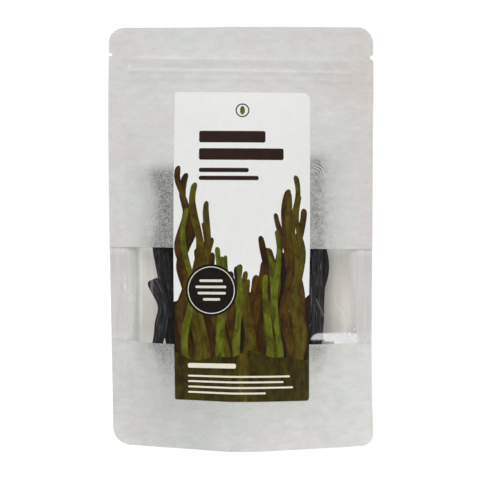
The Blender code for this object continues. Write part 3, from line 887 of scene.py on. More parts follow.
@dataclass
class StrandBundle:
    """The dried strands inside the pouch, laid as the solids are, and finer."""

    form: PouchForm
    material: Material
    rng: random.Random = field(default_factory=partial(random.Random, 41))
    stations: int = 90
    places: int = 14
    folded_places: int = 23
    first_seed: int = 7
    front_pitch: float = 0.0068
    back_pitch: float = 0.0079
    wider: float = 1.10
    uneven: float = 0.12
    twist: float = 8.0
    # Layers through the depth: place from -1 at the front to 1, lean, and the wave that each follows.
    front: Layer = Layer(-1.0, 0.015, 0.0019, 0.078, 0.4)
    mid_front: Layer = Layer(-0.33, -0.045, 0.0021, 0.066, 2.0)
    mid_back: Layer = Layer(0.33, 0.055, 0.0022, 0.074, 3.6)
    back: Layer = Layer(1.0, -0.025, 0.0021, 0.082, 5.1)
    front_plan: str = "fork single fold single single fold fork single fold single"
    back_plan: str = "single fork single single single fork single single fork"
    wall_tops: Span = (0.158, 0.174)
    wall_widths: Span = (0.0046, 0.0058)
    inner_spans: tuple[Span, ...] = ((0.150, 0.166), (0.0445, 0.050), (0.0042, 0.0058))
    front_ends: Span = (0.036, 0.043)
    back_ends: Span = (0.038, 0.046)
    fold_height: float = 0.046
    fold_shorter: float = 0.012
    fork_width: float = 0.0060
    branch_width: float = 0.0043
    branch_lead: float = 0.0007
    fork_height: float = 0.100
    fork_reach: float = 0.026
    fork_overlap: float = 0.006
    pieces: list[Object] = field(default_factory=list)

    def values(self, count: int, width: float, stations: int) -> tuple[Array, Array]:
        """Gently uneven widths and twists along a strand, drawn in the solids' order.

        Args:
            count: How many places the solid's strand has.
            width: Its mean width.
            stations: How many places this strand has.

        Returns:
            Widths and twists.
        """
        phase = self.rng.uniform(0, 2 * math.pi)
        index = np.linspace(0, count - 1, stations)
        widths = width * self.wider * (1 + self.uneven * np.sin(phase + 1.1 * index))
        return widths, math.radians(self.twist) * np.sin(phase + 0.8 * index)

    def route(self, layer: Layer, knots: tuple[Span, ...]) -> Array:
        """Points on a smooth curve through (x, z) knots, laid in a layer's depth."""
        ends = np.array(knots)
        ends = np.vstack([2 * ends[0] - ends[1], ends, 2 * ends[-1] - ends[-2]])
        spans = len(ends) - 3
        place = np.linspace(0, spans, self.stations)
        index = np.minimum(place.astype(int), spans - 1)
        t = (place - index)[:, None]
        a, b, c, d = (ends[index + step] for step in range(4))
        spot = 0.5 * (2 * b + (c - a) * t + (2 * a - 5 * b + 4 * c - d) * t**2 + (3 * b - a - 3 * c + d) * t**3)
        return layer.lay(self.form, spot[:, 0], spot[:, 1])

    def tube(self, strand: Strand) -> Object:
        """Model one strap, with a map that runs along it in metres."""
        tube = lay_grid(strand.rings())
        uv = tube.data.uv_layers[0]
        uv.name = "Strand"
        flat = np.empty(len(uv.data) * 2)
        uv.data.foreach_get("uv", flat)
        flat = flat.reshape(-1, 2)
        girth = 2.2 * float(strand.widths.mean())
        flat[:, 0] = flat[:, 0] * girth + 0.013 * (strand.seed % 97)
        flat[:, 1] = flat[:, 1] * np.linalg.norm(np.diff(strand.points, axis=0), axis=1).sum()
        uv.data.foreach_set("uv", flat.reshape(-1))
        close_tube(60)
        return tube

    def piece(self, name: str, strands: list[Strand]) -> None:
        """Model the straps of one strand and put them in its node's place.

        Args:
            name: The CAD node that it stands for.
            strands: The straps that it is made of.
        """
        made = [self.tube(strand) for strand in strands]
        deselect_all()
        for tube in made:
            tube.select_set(True)
        bpy.context.view_layer.objects.active = made[0]
        if len(made) > 1:
            bpy.ops.object.join()
        strap = bpy.context.view_layer.objects.active
        strap.name = f"{name}_strap"
        finish_piece(strap, name, [self.material])
        self.pieces.append(strap)

    def single(self, name: str, points: Array, width: float, count: int) -> None:
        """Model a plain strand along its points; the solids draw a number here too."""
        widths, twists = self.values(count, width, len(points))
        seed = self.rng.randrange(1) + len(self.pieces) + self.first_seed
        self.piece(name, [Strand(points, widths, twists, seed)])

    def edge_strands(self) -> None:
        """Model the outermost strands, which show in the window beside the label."""
        left_upper = ((-0.0489, 0.171), (-0.0497, 0.140), (-0.0494, 0.122), (-0.0468, 0.104),
                      (-0.0440, 0.086), (-0.0420, 0.066), (-0.0408, 0.048))
        left_lower = ((-0.0540, 0.1026), (-0.0508, 0.095), (-0.0479, 0.085), (-0.0491, 0.074),
                      (-0.0515, 0.0640), (-0.0522, 0.0570))
        right_long = ((0.0452, 0.176), (0.0446, 0.150), (0.0448, 0.122), (0.0447, 0.096),
                      (0.0441, 0.072), (0.0431, 0.048))
        right_bowed = ((0.0455, 0.158), (0.0450, 0.135), (0.0491, 0.109), (0.0468, 0.094),
                       (0.0446, 0.078), (0.0432, 0.054))
        plan = (
            ("left_upper", self.mid_front, left_upper, 0.0078),
            ("left_lower", self.front, left_lower, 0.0066),
            ("right_long", self.front, right_long, 0.0070),
            ("right_bowed", self.mid_front, right_bowed, 0.0058),
        )
        for name, layer, knots, width in plan:
            self.single("strand_" + name, self.route(layer, knots), width, self.places)

    def folded(self, name: str, x: float, top: float, width: float) -> None:
        """Model a strand doubled over: down the front layer, round a bend and up the next one."""
        down = self.front.run(self.form, x, np.linspace(top, self.fold_height, self.stations))
        up = self.mid_front.run(self.form, x, np.linspace(self.fold_height, top - self.fold_shorter, self.stations))
        start, end = down[-1], up[0]
        radius = np.linalg.norm(end - start) / 2
        bend = []
        for angle in np.radians(np.arange(10, 180, 10)):
            middle = start + (end - start) * (1 - math.cos(angle)) / 2
            bend.append(middle - np.array([0.0, 0.0, radius * math.sin(angle)]))
        self.single(name, np.vstack([down, bend, up]), width, self.folded_places)

    def forked(self, name: str, layer: Layer, place: float, pitch: float, ends: Span) -> None:
        """Model a strand that forks halfway up into two even branches.

        Args:
            name: The CAD node that it stands for.
            layer: Where it lies.
            place: Its middle, in pitches.
            pitch: From one branch's middle to the other's.
            ends: Heights of its lower and upper end.
        """
        z = np.linspace(*ends, self.stations)
        parting = rise(z, self.fork_height, self.fork_reach)
        widths, twists = self.values(self.places, self.fork_width, self.stations)
        widths = widths * (1 - (1 - self.branch_width / self.fork_width) * parting)
        x = place * pitch
        left = layer.run(self.form, x - pitch / 2 * parting, z)
        z = np.linspace(self.fork_height - self.fork_overlap, ends[1], self.stations // 2)
        parting = rise(z, self.fork_height, self.fork_reach)
        right = layer.run(self.form, x + self.branch_lead + pitch / 2 * parting, z)
        seed = len(self.pieces) + self.first_seed
        level = np.ones(len(z))
        branch = Strand(right, self.branch_width * self.wider * level, 0.02 * level, seed + 50)
        self.piece(name, [Strand(left, widths, twists, seed), branch])

    def wall_strands(self, wall: str, layer: Layer, pitch: float, plan: str, ends: Span) -> list[float]:
        """Model the strands side by side along one wall; a fork takes two places.

        Args:
            wall: The wall, as the nodes' names have it.
            layer: Where they lie.
            pitch: From one strand's middle to the next.
            plan: The kind of each strand.
            ends: Heights between which the lower ends fall.

        Returns:
            The places that a doubled strand fills.
        """
        kinds = plan.split()
        place = (1 - len(kinds) - kinds.count("fork")) / 2
        doubled = []
        for number, kind in enumerate(kinds, 1):
            name = f"strand_{wall}_{number:02d}"
            top, bottom, width = (self.rng.uniform(*span) for span in (self.wall_tops, ends, self.wall_widths))
            if kind == "fork":
                self.forked(name, layer, place + 0.5, pitch, (bottom, top))
                place += 1
            elif kind == "fold":
                self.folded(name, place * pitch, top, width)
                doubled.append(place)
            else:
                points = layer.run(self.form, place * pitch, np.linspace(top, bottom, self.stations))
                self.single(name, points, width, self.places)
            place += 1
        return doubled

    def inner_strands(self, doubled: list[float]) -> None:
        """Model the two layers between the walls, with gaps where a doubled strand comes up."""
        spots = [(self.mid_front, place * self.front_pitch) for place in np.arange(-4.5, 5.0) if place not in doubled]
        spots += [(self.mid_back, place * self.back_pitch) for place in np.arange(-4.0, 5.0)]
        for number, (layer, x) in enumerate(spots, 1):
            top, bottom, width = (self.rng.uniform(*span) for span in self.inner_spans)
            points = layer.run(self.form, x, np.linspace(top, bottom, self.stations))
            self.single(f"strand_middle_{number:02d}", points, width, self.places)

    def build(self) -> None:
        """Model all strands."""
        self.edge_strands()
        doubled = self.wall_strands("front", self.front, self.front_pitch, self.front_plan, self.front_ends)
        self.inner_strands(doubled)
        self.wall_strands("back", self.back, self.back_pitch, self.back_plan, self.back_ends)

    def tree(self) -> BVHTree:
        """A search tree over all strands, to see how near a sheet they come."""
        vertices, faces = [], []
        for piece in self.pieces:
            start = len(vertices)
            vertices += [vertex.co.copy() for vertex in piece.data.vertices]
            faces += [[start + index for index in face.vertices] for face in piece.data.polygons]
        return BVHTree.FromPolygons(vertices, faces)


# Sheets of the pouch


@dataclass(frozen=True)
class Sheet:
    """A sheet laid on one panel of the pouch as a fine grid."""

    form: PouchForm
    side: int
    columns: int = 170
    seal_columns: int = 4

    def across(self, heights: Array) -> Array:
        """Places across for every row: cut edge, seal and then columns closer near the seals.

        Args:
            heights: Heights of the rows.

        Returns:
            An array of rows and columns.
        """
        rows = heights[:, None]
        shares = np.linspace(-1, 1, self.columns + 1)[None, :]
        inner = self.form.seal_x(rows, shares) * np.sin(np.pi / 2 * shares)
        steps = np.linspace(0, 1, self.seal_columns + 1)[None, 1:]
        left, right = (
            self.form.seal_x(rows, hand) * (1 - steps) + self.form.edge_x(rows, hand) * steps for hand in (-1.0, 1.0)
        )
        return np.hstack([-left[:, ::-1], inner, right])

    def grid(self, name: str, points: Array, values: dict[str, Array], thickness: float) -> Object:
        """Model the sheet from its grid of points.

        Args:
            name: Name of the piece.
            points: Rows, columns and coordinates of its inner face.
            values: Number attributes of the points.
            thickness: How far the sheet goes outwards from its inner face.

        Returns:
            The sheet; its second material slot is the inner face.
        """
        sheet = lay_grid(points)
        sheet.name = name
        for key, value in values.items():
            layer = sheet.data.attributes.new(key, "FLOAT", "POINT")
            layer.data.foreach_set("value", value.astype(np.float32).reshape(-1))
        for _ in range(2):
            sheet.data.materials.append(None)
        thicken(sheet, thickness, self.side == BACK, use_even_offset=True, material_offset=1)
        return sheet


@dataclass
class PouchPanels:
    """Front papers, window film, back panel and gusset."""

    form: PouchForm
    relief: Relief
    strands: BVHTree
    # Thicknesses, the step of the papers over the film, and the rows' spacing.
    paper: float = 0.00016
    film: float = 0.00012
    lap: float = 0.00014
    lap_fade: float = 0.003
    fine: float = 0.0011
    # Distances at which strands press on a sheet wholly and not at all, and how their painted shade through it is
    # found.
    near: float = 0.0006
    far: float = 0.0034
    see_depth: float = 0.0180
    see_blur: float = 0.0024
    press_rise: float = 0.00012
    press_seen: float = 0.35
    press_fade: Span = (0.062, 0.06)
    paper_columns: int = 170
    film_columns: int = 220
    back_columns: int = 130
    # Where the mass of strands can lie, and the soft edges of its painted shade: shares, starts and reaches.
    mass_heights: Span = (0.020, 0.185)
    mass_half: float = 0.062
    mass_left: tuple = ((0.040, 0.0535, 0.0575, 0.062, 0.110, 0.124, 0.135, 0.153, 0.170),
                        (-0.0490, -0.0512, -0.0518, -0.0560, -0.0545, -0.0545, -0.0520, -0.0520, -0.0560))
    mass_right: tuple = ((0.0435, 0.052, 0.064, 0.170), (0.0424, 0.0480, 0.0503, 0.0505))
    mass_top: float = 0.1728
    mass_top_lean: float = 0.073
    left_edge: tuple = ((0.36, -0.0170, 0.017), (0.64, -0.0035, 0.008))
    right_edge: tuple = ((0.34, -0.0150, 0.015), (0.66, -0.0035, 0.0095))
    top_edge: tuple = ((0.3, -0.010, 0.014), (0.7, -0.004, 0.009))
    low_wide: Span = (0.012, 0.03)
    low_core: Span = (0.042, 0.028)
    # Places of the light through the window's back, and of the pinkish paper: where each eases in
    # or has its middle, and how far it goes from there.
    glow_left: tuple = ((0.040, 0.004), (0.0606, 0.0032))
    glow_right: tuple = ((0.044, 0.0165), (0.062, 0.008))
    glow_over: Span = (0.110, 0.010)
    glow_under: Span = (0.100, 0.02)
    glow_wide: Span = (0.0675, 0.006)
    glow_seal: Span = (0.0690, 0.0030)
    glow_halfway: Span = (0.097, 0.010)
    glow_top: Span = (0.1155, 0.005)
    glow_foot: Span = (0.0715, 0.005)
    glow_spot: tuple = ((0.0645, 0.0036), (0.080, 0.011))
    glow_shade: tuple = ((0.0632, 0.0028), (0.110, 0.011))
    warm_seal: Span = (0.0695, 0.002)
    warm_foot: Span = (0.060, 0.02)
    warm_left: Span = (0.180, 0.022)
    warm_head: tuple = ((0.005, 0.05), (0.185, 0.03))
    warm_clouds: Span = (0.026, 0.034)
    label_half: float = 0.0425
    # The upper edge of the lower paper: how low it lies, leans and is lifted at the left.
    edge_drop: float = 0.00065
    edge_lean: float = 0.0045
    edge_lift: float = 0.0018
    # Painted highlights on the film: the glare bar at the window's lower right, its splash and glinting streaks.
    glare_top: float = 0.0706
    glare_across: tuple[float, float, float, float] = (0.0402, 0.0458, 0.0600, 0.0724)
    glare_base: tuple = ((0.0485, 0.0489, 0.0550, 0.0557), (0.0662, 0.0653, 0.0650, 0.0600))
    glare_edge: float = 0.0007
    glare_tail: tuple = ((0.0660, 0.002), (0.0765, 0.003))
    glare_tail_top: Span = (0.0694, 0.0022)
    splash: tuple = ((0.0650, 0.004), (0.0725, 0.0022))
    streak_band: tuple = ((0.052, 0.004), (0.070, 0.003))
    # Heights of the gusset's fold and of its seal beside the side seals.
    gusset_half: float = 0.048
    gusset_low: float = 0.005
    gusset_share: float = 0.985
    gusset_foot: float = 0.0003
    gusset_clear: float = 0.0002
    gusset_thinner: float = 0.8
    gusset_steps: tuple[int, int, int] = (97, 10, 14)
    # Folds of the film in metres of relief, and painted highlights smeared along lines on it, in shares of white.
    creases: tuple[Crease, ...] = (
        Crease((0.0530, 0.0930), (0.0655, 0.0750), 0.0008, 0.00010),
        Crease((0.0560, 0.0960), (0.0680, 0.0800), 0.0007, 0.00007),
        Crease((0.0443, 0.0925), (0.0494, 0.0800), 0.0006, 0.00007),
        Crease((-0.0690, 0.0660), (-0.0675, 0.1190), 0.0014, 0.00016),
        Crease((-0.0640, 0.0660), (-0.0650, 0.1190), 0.0012, 0.00018),
        Crease((-0.0605, 0.0660), (-0.0600, 0.1190), 0.0010, 0.00012),
    )
    highlight_smears: tuple[Crease, ...] = (
        Crease((0.0441, 0.0908), (0.0486, 0.0806), 0.0007, 0.075),
        Crease((0.0545, 0.0905), (0.0655, 0.0755), 0.0009, 0.07),
        Crease((0.0600, 0.0890), (0.0672, 0.0800), 0.0008, 0.06),
        Crease((0.0535, 0.0840), (0.0600, 0.0770), 0.0008, 0.05),
        Crease((-0.0708, 0.1030), (-0.0703, 0.0970), 0.0012, 0.42),
        Crease((-0.0706, 0.0990), (-0.0699, 0.0953), 0.0012, 0.55),
        Crease((-0.0699, 0.0952), (-0.0662, 0.0904), 0.0026, 0.18),
    )

    def lap_step(self, height: Array) -> Array:
        """Offset of the papers over the film, gone past the film's edges."""
        form = self.form
        past = np.maximum(form.window_bottom - form.window_lap - height, height - form.window_top - form.window_lap)
        return self.lap * (1 - smooth(past / self.lap_fade))

    def rows(self, low: float, high: float, step: float) -> list[float]:
        """Evenly spaced heights from low to high, about a step apart."""
        return list(np.linspace(low, high, max(2, round((high - low) / step) + 1)))

    def head_rows(self, step: float) -> list[float]:
        """Heights of the rows from below the zipper to the top edge."""
        form = self.form
        zipper = self.rows(form.zipper_height - 0.0125, form.zipper_height + 0.0085, 0.0004)
        tips = [form.notch_half_height + flare for flare in (0.0, *form.notch_flare)]
        notch = [form.notch_height + side * tip for tip in [0.0, 0.0014, *tips] for side in (-1, 1)]
        seal = self.rows(form.height - 0.0150, form.height - form.top_corner - 0.0006, step)
        start = form.height - form.top_corner
        corner = [start + form.top_corner * math.sin(math.radians(angle)) for angle in range(0, 91, 9)]
        return zipper + notch + seal + corner

    def foot_rows(self) -> list[float]:
        """Heights of the rows round the bottom corners."""
        corner = self.form.bottom_corner
        return [corner * (1 - math.sin(math.radians(angle))) for angle in range(90, 0, -8)]

    def reached(self, points: Array) -> list[tuple[int, Array]]:
        """The points of a sheet that strands may lie behind, with their numbers."""
        low, high = self.mass_heights
        flat = enumerate(points.reshape(-1, 3))
        return [(index, spot) for index, spot in flat if low < spot[2] < high and abs(spot[0]) < self.mass_half]

    def press_and_painted_shade(self, points: Array) -> Array:
        """How much the strands press on a sheet, which lifts it and feeds its painted shade: 1 where they touch it, 0
        where they are far.

        Args:
            points: Rows, columns and coordinates of its inner face.

        Returns:
            A value for each point.
        """
        away = np.full(points.shape[0] * points.shape[1], self.far)
        for index, point in self.reached(points):
            distance = self.strands.find_nearest(Vector(point), self.far)[3]
            if distance is not None:
                away[index] = distance
        return fall(away, self.far, self.far - self.near).reshape(points.shape[:2])

    def shadow(self, points: Array, side: int) -> Array:
        """Painted shade of the strands behind a sheet, as dark as they would look through it: less so the deeper they
        lie.

        Args:
            points: Rows, columns and coordinates of its inner face.
            side: FRONT or BACK.

        Returns:
            A value from 0 to 1 for each point.
        """
        seen = np.zeros(points.shape[0] * points.shape[1])
        inwards = Vector((0.0, -side, 0.0))
        blur = self.see_blur
        taps = [(0.0, 0.0), (blur, 0.2 * blur), (-blur, -0.2 * blur), (0.5 * blur, blur), (-0.5 * blur, -blur)]
        for index, point in self.reached(points):
            for across, up in taps:
                start = Vector((point[0] + across, point[1] + 0.001 * side, point[2] + up))
                distance = self.strands.ray_cast(start, inwards, self.see_depth)[3]
                if distance is not None:
                    seen[index] += 1 - 0.3 * distance / self.see_depth
        near = smooth(1.25 * seen / len(taps)).reshape(points.shape[:2])
        return np.maximum(0.30 * near, self.bulk(points[..., 0], points[..., 2], side))

    def bulk(self, x: Array, z: Array, side: int) -> Array:
        """Painted shade of the whole mass of strands seen through a sheet: a core with a wide soft edge.

        Args:
            x: Places across.
            z: Heights over the floor.
            side: FRONT or BACK.

        Returns:
            Values from 0 to 1.
        """
        level = 1 - 0.20 * rise(x, -0.04, 0.08)
        level = level * (1 + 0.34 * Crumple(53).at(x, z, 0.0023, 0.0021) * rise(x, 0.040, 0.004))
        if side == BACK:
            # At the back the strands' ends show one by one, and gaps between them run up the sheet.
            level = 1 - 0.20 * smooth(Crumple(41).at(x, z, 0.0032, 0.045) + 0.3)
            wander, ragged = Crumple(43).at(x * 0, z, 1.0, 0.022), Crumple(47).at(x, z * 0, 0.0055, 1.0)
            x, z = x + 0.0026 * wander, z + 0.0050 * ragged * np.sign(z - 0.11) + 0.0030 * np.sign(z - 0.11)
        left = stepped(x - np.interp(z, *self.mass_left), self.left_edge)
        right = stepped(np.interp(z, *self.mass_right) - x, self.right_edge)
        ends = stepped(self.mass_top + self.mass_top_lean * x - z, self.top_edge)
        low = z + 0.0025 + 0.0035 * (1 - rise(x, -0.012, 0.024))
        low = low + 0.0055 * rise(x, 0.040, 0.003) * rise(z, 0.0515, 0.003) * (side == FRONT)
        ends = ends * (0.15 * rise(z, *self.low_wide) + 0.85 * rise(low, *self.low_core))
        return left * right * ends * level

    def panel(self, name: str, heights: list[float], side: int, step: bool, columns: int) -> tuple:
        """Work out a panel's points and how much the strands press on them.

        Args:
            name: For the log.
            heights: Heights of its rows.
            side: FRONT or BACK.
            step: Whether it steps over the film's edge.
            columns: Columns between the seals.

        Returns:
            The sheet, its places across and up, its points and their press values.
        """
        sheet = Sheet(self.form, side, columns)
        rows = np.array(sorted(set(heights)))
        x = sheet.across(rows)
        height = np.repeat(rows[:, None], x.shape[1], axis=1)
        lift = self.relief.at(x, height) + (self.lap_step(height) if step else 0.0)
        press_and_painted_shade = self.press_and_painted_shade(self.form.points(x, height, lift, side))
        if side == FRONT:
            press_out = press_and_painted_shade * rise(np.abs(x), self.label_half, 0.003)
        else:
            press_out = press_and_painted_shade
        lift = lift + self.press_rise * press_out
        LOG.info("%s: %d rows, %d columns", name, len(rows), x.shape[1])
        return sheet, x, height, lift, press_and_painted_shade

    def warmth(self, x: Array, height: Array) -> Array:
        """How pinkish the paper is: at the pressed seals, at the top right and in broad clouds."""
        seal = 0.45 * rise(np.abs(x), *self.warm_seal) * rise(height, *self.warm_foot)
        seal = seal * np.where(x < 0, 0.25 + 0.75 * bell(height, *self.warm_left), 1.0)
        across, up = self.warm_head
        head = 0.30 * rise(x, *across) * rise(height, *up)
        clouds = 0.30 * np.clip(Crumple(23).at(x, height, *self.warm_clouds), 0.0, 1.0) * rise(height, 0.06, 0.03)
        return np.clip(seal + head + clouds, 0.0, 0.8)

    def glow(self, x: Array, height: Array) -> Array:
        """Light that comes through the back panel into the window, dimmed where the folds shade it."""
        left = 0.235 * band(-x, *self.glow_left)
        right = 0.15 * band(x, *self.glow_right)
        right = right * (1 + 0.35 * rise(height, *self.glow_over) + 0.40 * fall(height, *self.glow_under))
        base = 0.045 * (1 - rise(np.abs(x), *self.glow_wide)) * np.where(x < 0, 1.0, 0.3)
        base = base + 0.022 * bell(x, *self.glow_seal) + 0.025 * bell(height, *self.glow_halfway)
        base = base + 0.11 * rise(height, *self.glow_top) + 0.05 * fall(height, *self.glow_foot)
        base = base + 0.050 * hump(x, height, self.glow_spot) - 0.050 * hump(np.abs(x), height, self.glow_shade)
        clouds = 1 + 0.12 * Crumple(29).at(x, height, 0.006, 0.020)
        return np.clip((0.030 + base + left + right) * clouds, 0.0, 1.0)

    def front_papers(self, paper: Material, liner: Material) -> None:
        """Model the upper and lower papers of the front."""
        form = self.form
        upper = self.rows(form.window_top, form.zipper_height - 0.0130, self.fine) + self.head_rows(self.fine)
        lower = self.foot_rows() + self.rows(form.bottom_corner, form.window_bottom, self.fine)
        for name, heights in (("front_paper_upper", upper), ("front_paper_lower", lower)):
            sheet, x, height, lift, press_and_painted_shade = self.panel(name, heights, FRONT, True, self.paper_columns)
            # Painted shade of the strands seen through the paper, a little weaker towards the foot.
            fade = 0.90 + 0.10 * rise(height, *self.press_fade)
            if name == "front_paper_lower":
                # The lower paper is cut a little low and runs askew to the window's upper edge.
                drop = self.edge_drop - self.edge_lean * x - self.edge_lift * rise(-x, 0.042, 0.04)
                height = height - drop * rise(height - form.window_bottom, -0.02, 0.02)
            points = form.points(x, height, lift, FRONT)
            seen = np.maximum(self.shadow(points, FRONT), self.press_seen * press_and_painted_shade)
            values = {"press_and_painted_shade": seen * fade, "warmth": self.warmth(x, height), "painted_light_and_shade": self.relief.painted_light_and_shade(x, height)}
            piece = sheet.grid(name + "_sheet", points, values, self.paper)
            finish_piece(piece, name, [paper, liner])

    def glare(self, x: Array, height: Array) -> Array:
        """Painted highlight: a glare drawn in white on the film where it bends over the lower paper's edge, at the
        right.

        Args:
            x: Places across.
            height: Places up.

        Returns:
            Opacity from 0 to 1: a bar with a rounded start, ragged towards the side seal.
        """
        start, arc, ragged, end = self.glare_across
        round_start = np.clip((arc - x) / (arc - start), 0.0, 1.0)
        top = self.glare_top - 0.0046 * (1 - np.sqrt(1 - round_start**2))
        spots = Crumple(12).at(x, height, 0.0017, 0.0013)
        loose = rise(x, ragged, 0.004)
        top = top + loose * (0.0009 * spots + 0.0012 * Crumple(19).at(x, height * 0, 0.0021, 0.01))
        base = np.interp(x, *self.glare_base)
        bar = fall(height, top, self.glare_edge) * rise(height, base, self.glare_edge)
        bar = bar * rise(x, start, 0.0008) * (1 - rise(x + 0.003 * loose, end, 0.003))
        level = np.where(x < 0.0487, 0.46, 0.80)
        splash = loose * rise(spots, 0.35, 0.3) * hump(x, height, self.splash)
        tail = 0.42 * band(x, *self.glare_tail)
        tail = tail * fall(height, *self.glare_tail_top) * rise(height, base, self.glare_edge)
        bar = np.maximum(level * bar, tail)
        return np.clip(bar * (1 + 0.22 * spots * (0.3 + 0.7 * loose)) + 0.7 * splash, 0.0, 1.0)

    def window(self, film: Material) -> None:
        """Model the clear film, which laps under both papers and creases in the window."""
        form = self.form
        heights = self.rows(form.window_bottom - form.window_lap, form.window_top + form.window_lap, 0.0006)
        sheet, x, height, lift, _ = self.panel("window_film", heights, FRONT, False, self.film_columns)
        open_part = rise(height - form.window_bottom, -0.0020, 0.0012)
        open_part = open_part * fall(height, form.window_top - 0.0004, 0.003)
        open_part = open_part * rise(np.abs(x), 0.0395, 0.0020)
        folds = sum(crease.at(x, height) for crease in self.creases)
        fine = Crumple(11).at(x, height, 0.0032, 0.030) * 0.00006
        points = form.points(x, height, lift + (folds + fine) * open_part, FRONT)
        # Painted highlights: the glare, the smears and glinting streaks, drawn as white on the film.
        painted_highlight = self.glare(x, height)
        painted_highlight = np.maximum(painted_highlight, sum(smear.at(x, height) for smear in self.highlight_smears))
        streaks = rise(Crumple(13).at(x, height, 0.0022, 0.060), 0.05, 0.5)
        streaks = streaks * band(np.abs(x), *self.streak_band)
        painted_highlight = (painted_highlight + 0.11 * streaks * np.where(x < 0, 1.0, 0.35)) * open_part
        piece = sheet.grid("window_film_sheet", points, {"painted_highlight": painted_highlight}, self.film)
        finish_piece(piece, "window_film", [film, film])

    def back(self, paper: Material, liner: Material) -> None:
        """Model the back panel."""
        form = self.form
        heights = self.foot_rows() + self.rows(form.bottom_corner, form.zipper_height - 0.0130, 0.0016)
        heights = heights + self.head_rows(0.0014)
        sheet, x, height, lift, press_and_painted_shade = self.panel("back_panel", heights, BACK, False, self.back_columns)
        points = form.points(x, height, lift, BACK)
        # Painted shade of the strands seen through the back panel.
        seen = np.maximum(self.shadow(points, BACK), self.press_seen * press_and_painted_shade)
        values = {"press_and_painted_shade": seen * 0.9, "warmth": self.warmth(-x, height), "painted_light_and_shade": self.relief.painted_light_and_shade(x, height)}
        values["glow"] = self.glow(x, height)
        piece = sheet.grid("back_panel_sheet", points, values, self.paper)
        finish_piece(piece, "back_panel", [paper, liner])

    def gusset(self, paper: Material) -> None:
        """Model the folded bottom: up the curved seal on one panel, over the arch and down the other."""
        form = self.form
        columns, legs, arch_rows = self.gusset_steps
        seal_line = form.seal_x(np.array([self.gusset_low]))[0] * self.gusset_share
        x = seal_line * np.sin(np.pi / 2 * np.linspace(-1, 1, columns))
        width = form.half_width(np.array([0.0]))[0] - form.side_seal
        reach = np.minimum(np.abs(x) / width, 1.0)
        seal = self.gusset_low + (self.gusset_half - self.gusset_low) * (1 - np.sqrt(1 - reach**2))
        clear = self.gusset_clear + self.paper / 2
        rows = []
        for step in range(legs):
            level = self.gusset_foot + (seal - self.gusset_foot) * step / legs
            across = np.minimum(np.abs(x), form.seal_x(level) * self.gusset_share) * np.sign(x)
            rows.append((across, form.inner_depth(across, level) - clear, level, level))
        depth = form.inner_depth(x, seal) - clear
        slack = (self.gusset_half - seal) * 2 / math.pi
        arch = np.sqrt(np.maximum(2 * slack**2 - depth**2, depth**2))
        for step in range(arch_rows + 1):
            angle = math.pi / 2 * step / arch_rows
            rows.append((x, depth * math.cos(angle), seal + arch * math.sin(angle), seal))
        points = []
        for side, part in ((FRONT, rows), (BACK, rows[-2::-1])):
            for across, depth, level, base in part:
                raised = level + form.foot_rise(across, base)
                points.append(np.stack([across + form.aside(across, base), side * depth, raised], axis=-1))
        points = np.array(points)
        values = {"press_and_painted_shade": np.zeros(points.shape[:2])}
        sheet = Sheet(form, FRONT).grid("bottom_gusset_sheet", points, values, self.paper * self.gusset_thinner)
        finish_piece(sheet, "bottom_gusset", [paper, paper])


# Zipper


@dataclass(frozen=True)
class Zipper:
    """The press zipper between the panels, crushed flat where it runs into the side seals."""

    form: PouchForm
    reach_share: float = 0.985
    stations: int = 90
    clear: float = 0.00006
    flange_half: float = 0.0062
    flange: float = 0.00035
    reach: float = 0.0018
    groove_half: float = 0.00075
    jaw: float = 0.0005
    stem_half: float = 0.00025
    head_half: float = 0.0004
    head_start: float = 0.0012
    head_widest: float = 0.0014
    head_tip: float = 0.0001
    hook: float = 0.0001
    fillet: float = 0.0003
    chamfer: float = 0.0002
    taper: float = 0.0012
    least_share: float = 0.03

    def section(self, groove: bool) -> list[Span]:
        """Section of one half as (inwards from the panel, up), closed, from the top down.

        Args:
            groove: True for the half with the groove, False for the one with the headed rib.

        Returns:
            The section's points.
        """
        thin = 0.35 * self.flange
        half = [(0.0, self.flange_half), (thin, self.flange_half), (self.flange, self.flange_half - self.taper)]
        if groove:
            jaw = self.groove_half + self.jaw
            before = self.reach - self.chamfer
            half += [(self.flange, jaw + self.fillet), (self.flange + self.fillet, jaw), (before, jaw)]
            half += [(self.reach, jaw - self.chamfer), (self.reach, self.groove_half + self.hook)]
            half += [(before, self.groove_half - self.hook), (self.flange, self.groove_half)]
        else:
            half += [(self.flange, self.stem_half + self.fillet), (self.flange + self.fillet, self.stem_half)]
            half += [(self.head_start, self.stem_half), (self.head_widest, self.head_half)]
            half += [(self.reach - self.head_tip, self.stem_half), (self.reach, self.head_tip)]
        return half + [(inwards, -up) for inwards, up in reversed(half)]

    def build(self, finish: ZipperPlasticFinish) -> None:
        """Model both halves by sweeping their sections across the pouch."""
        material = finish.material()
        form = self.form
        level = form.zipper_height
        end = float(form.seal_x(np.array([level]))[0]) * self.reach_share
        x = end * np.sin(np.pi / 2 * np.linspace(-1, 1, self.stations))
        middle = form.inner_depth(x, np.full_like(x, level))
        crushed = np.clip((middle - form.seal_gap / 2) / form.zipper_hold, self.least_share, 1.0)
        for name, side, groove in (("zipper_front", FRONT, True), ("zipper_back", BACK, False)):
            section = self.section(groove)
            around = len(section)
            points = np.empty((self.stations, around + 1, 3))
            for index in range(around + 1):
                inwards, up = section[index % around]
                depth = form.inner_depth(x, np.full_like(x, level + up))
                points[:, index, 0] = x + form.aside(x, level)
                points[:, index, 1] = side * (depth - self.clear * crushed - inwards * crushed)
                points[:, index, 2] = form.world_height(x, np.full_like(x, level + up))
            half = lay_grid(points)
            half.name = name + "_profile"
            close_tube(40)
            finish_piece(half, name, [material])


# Label


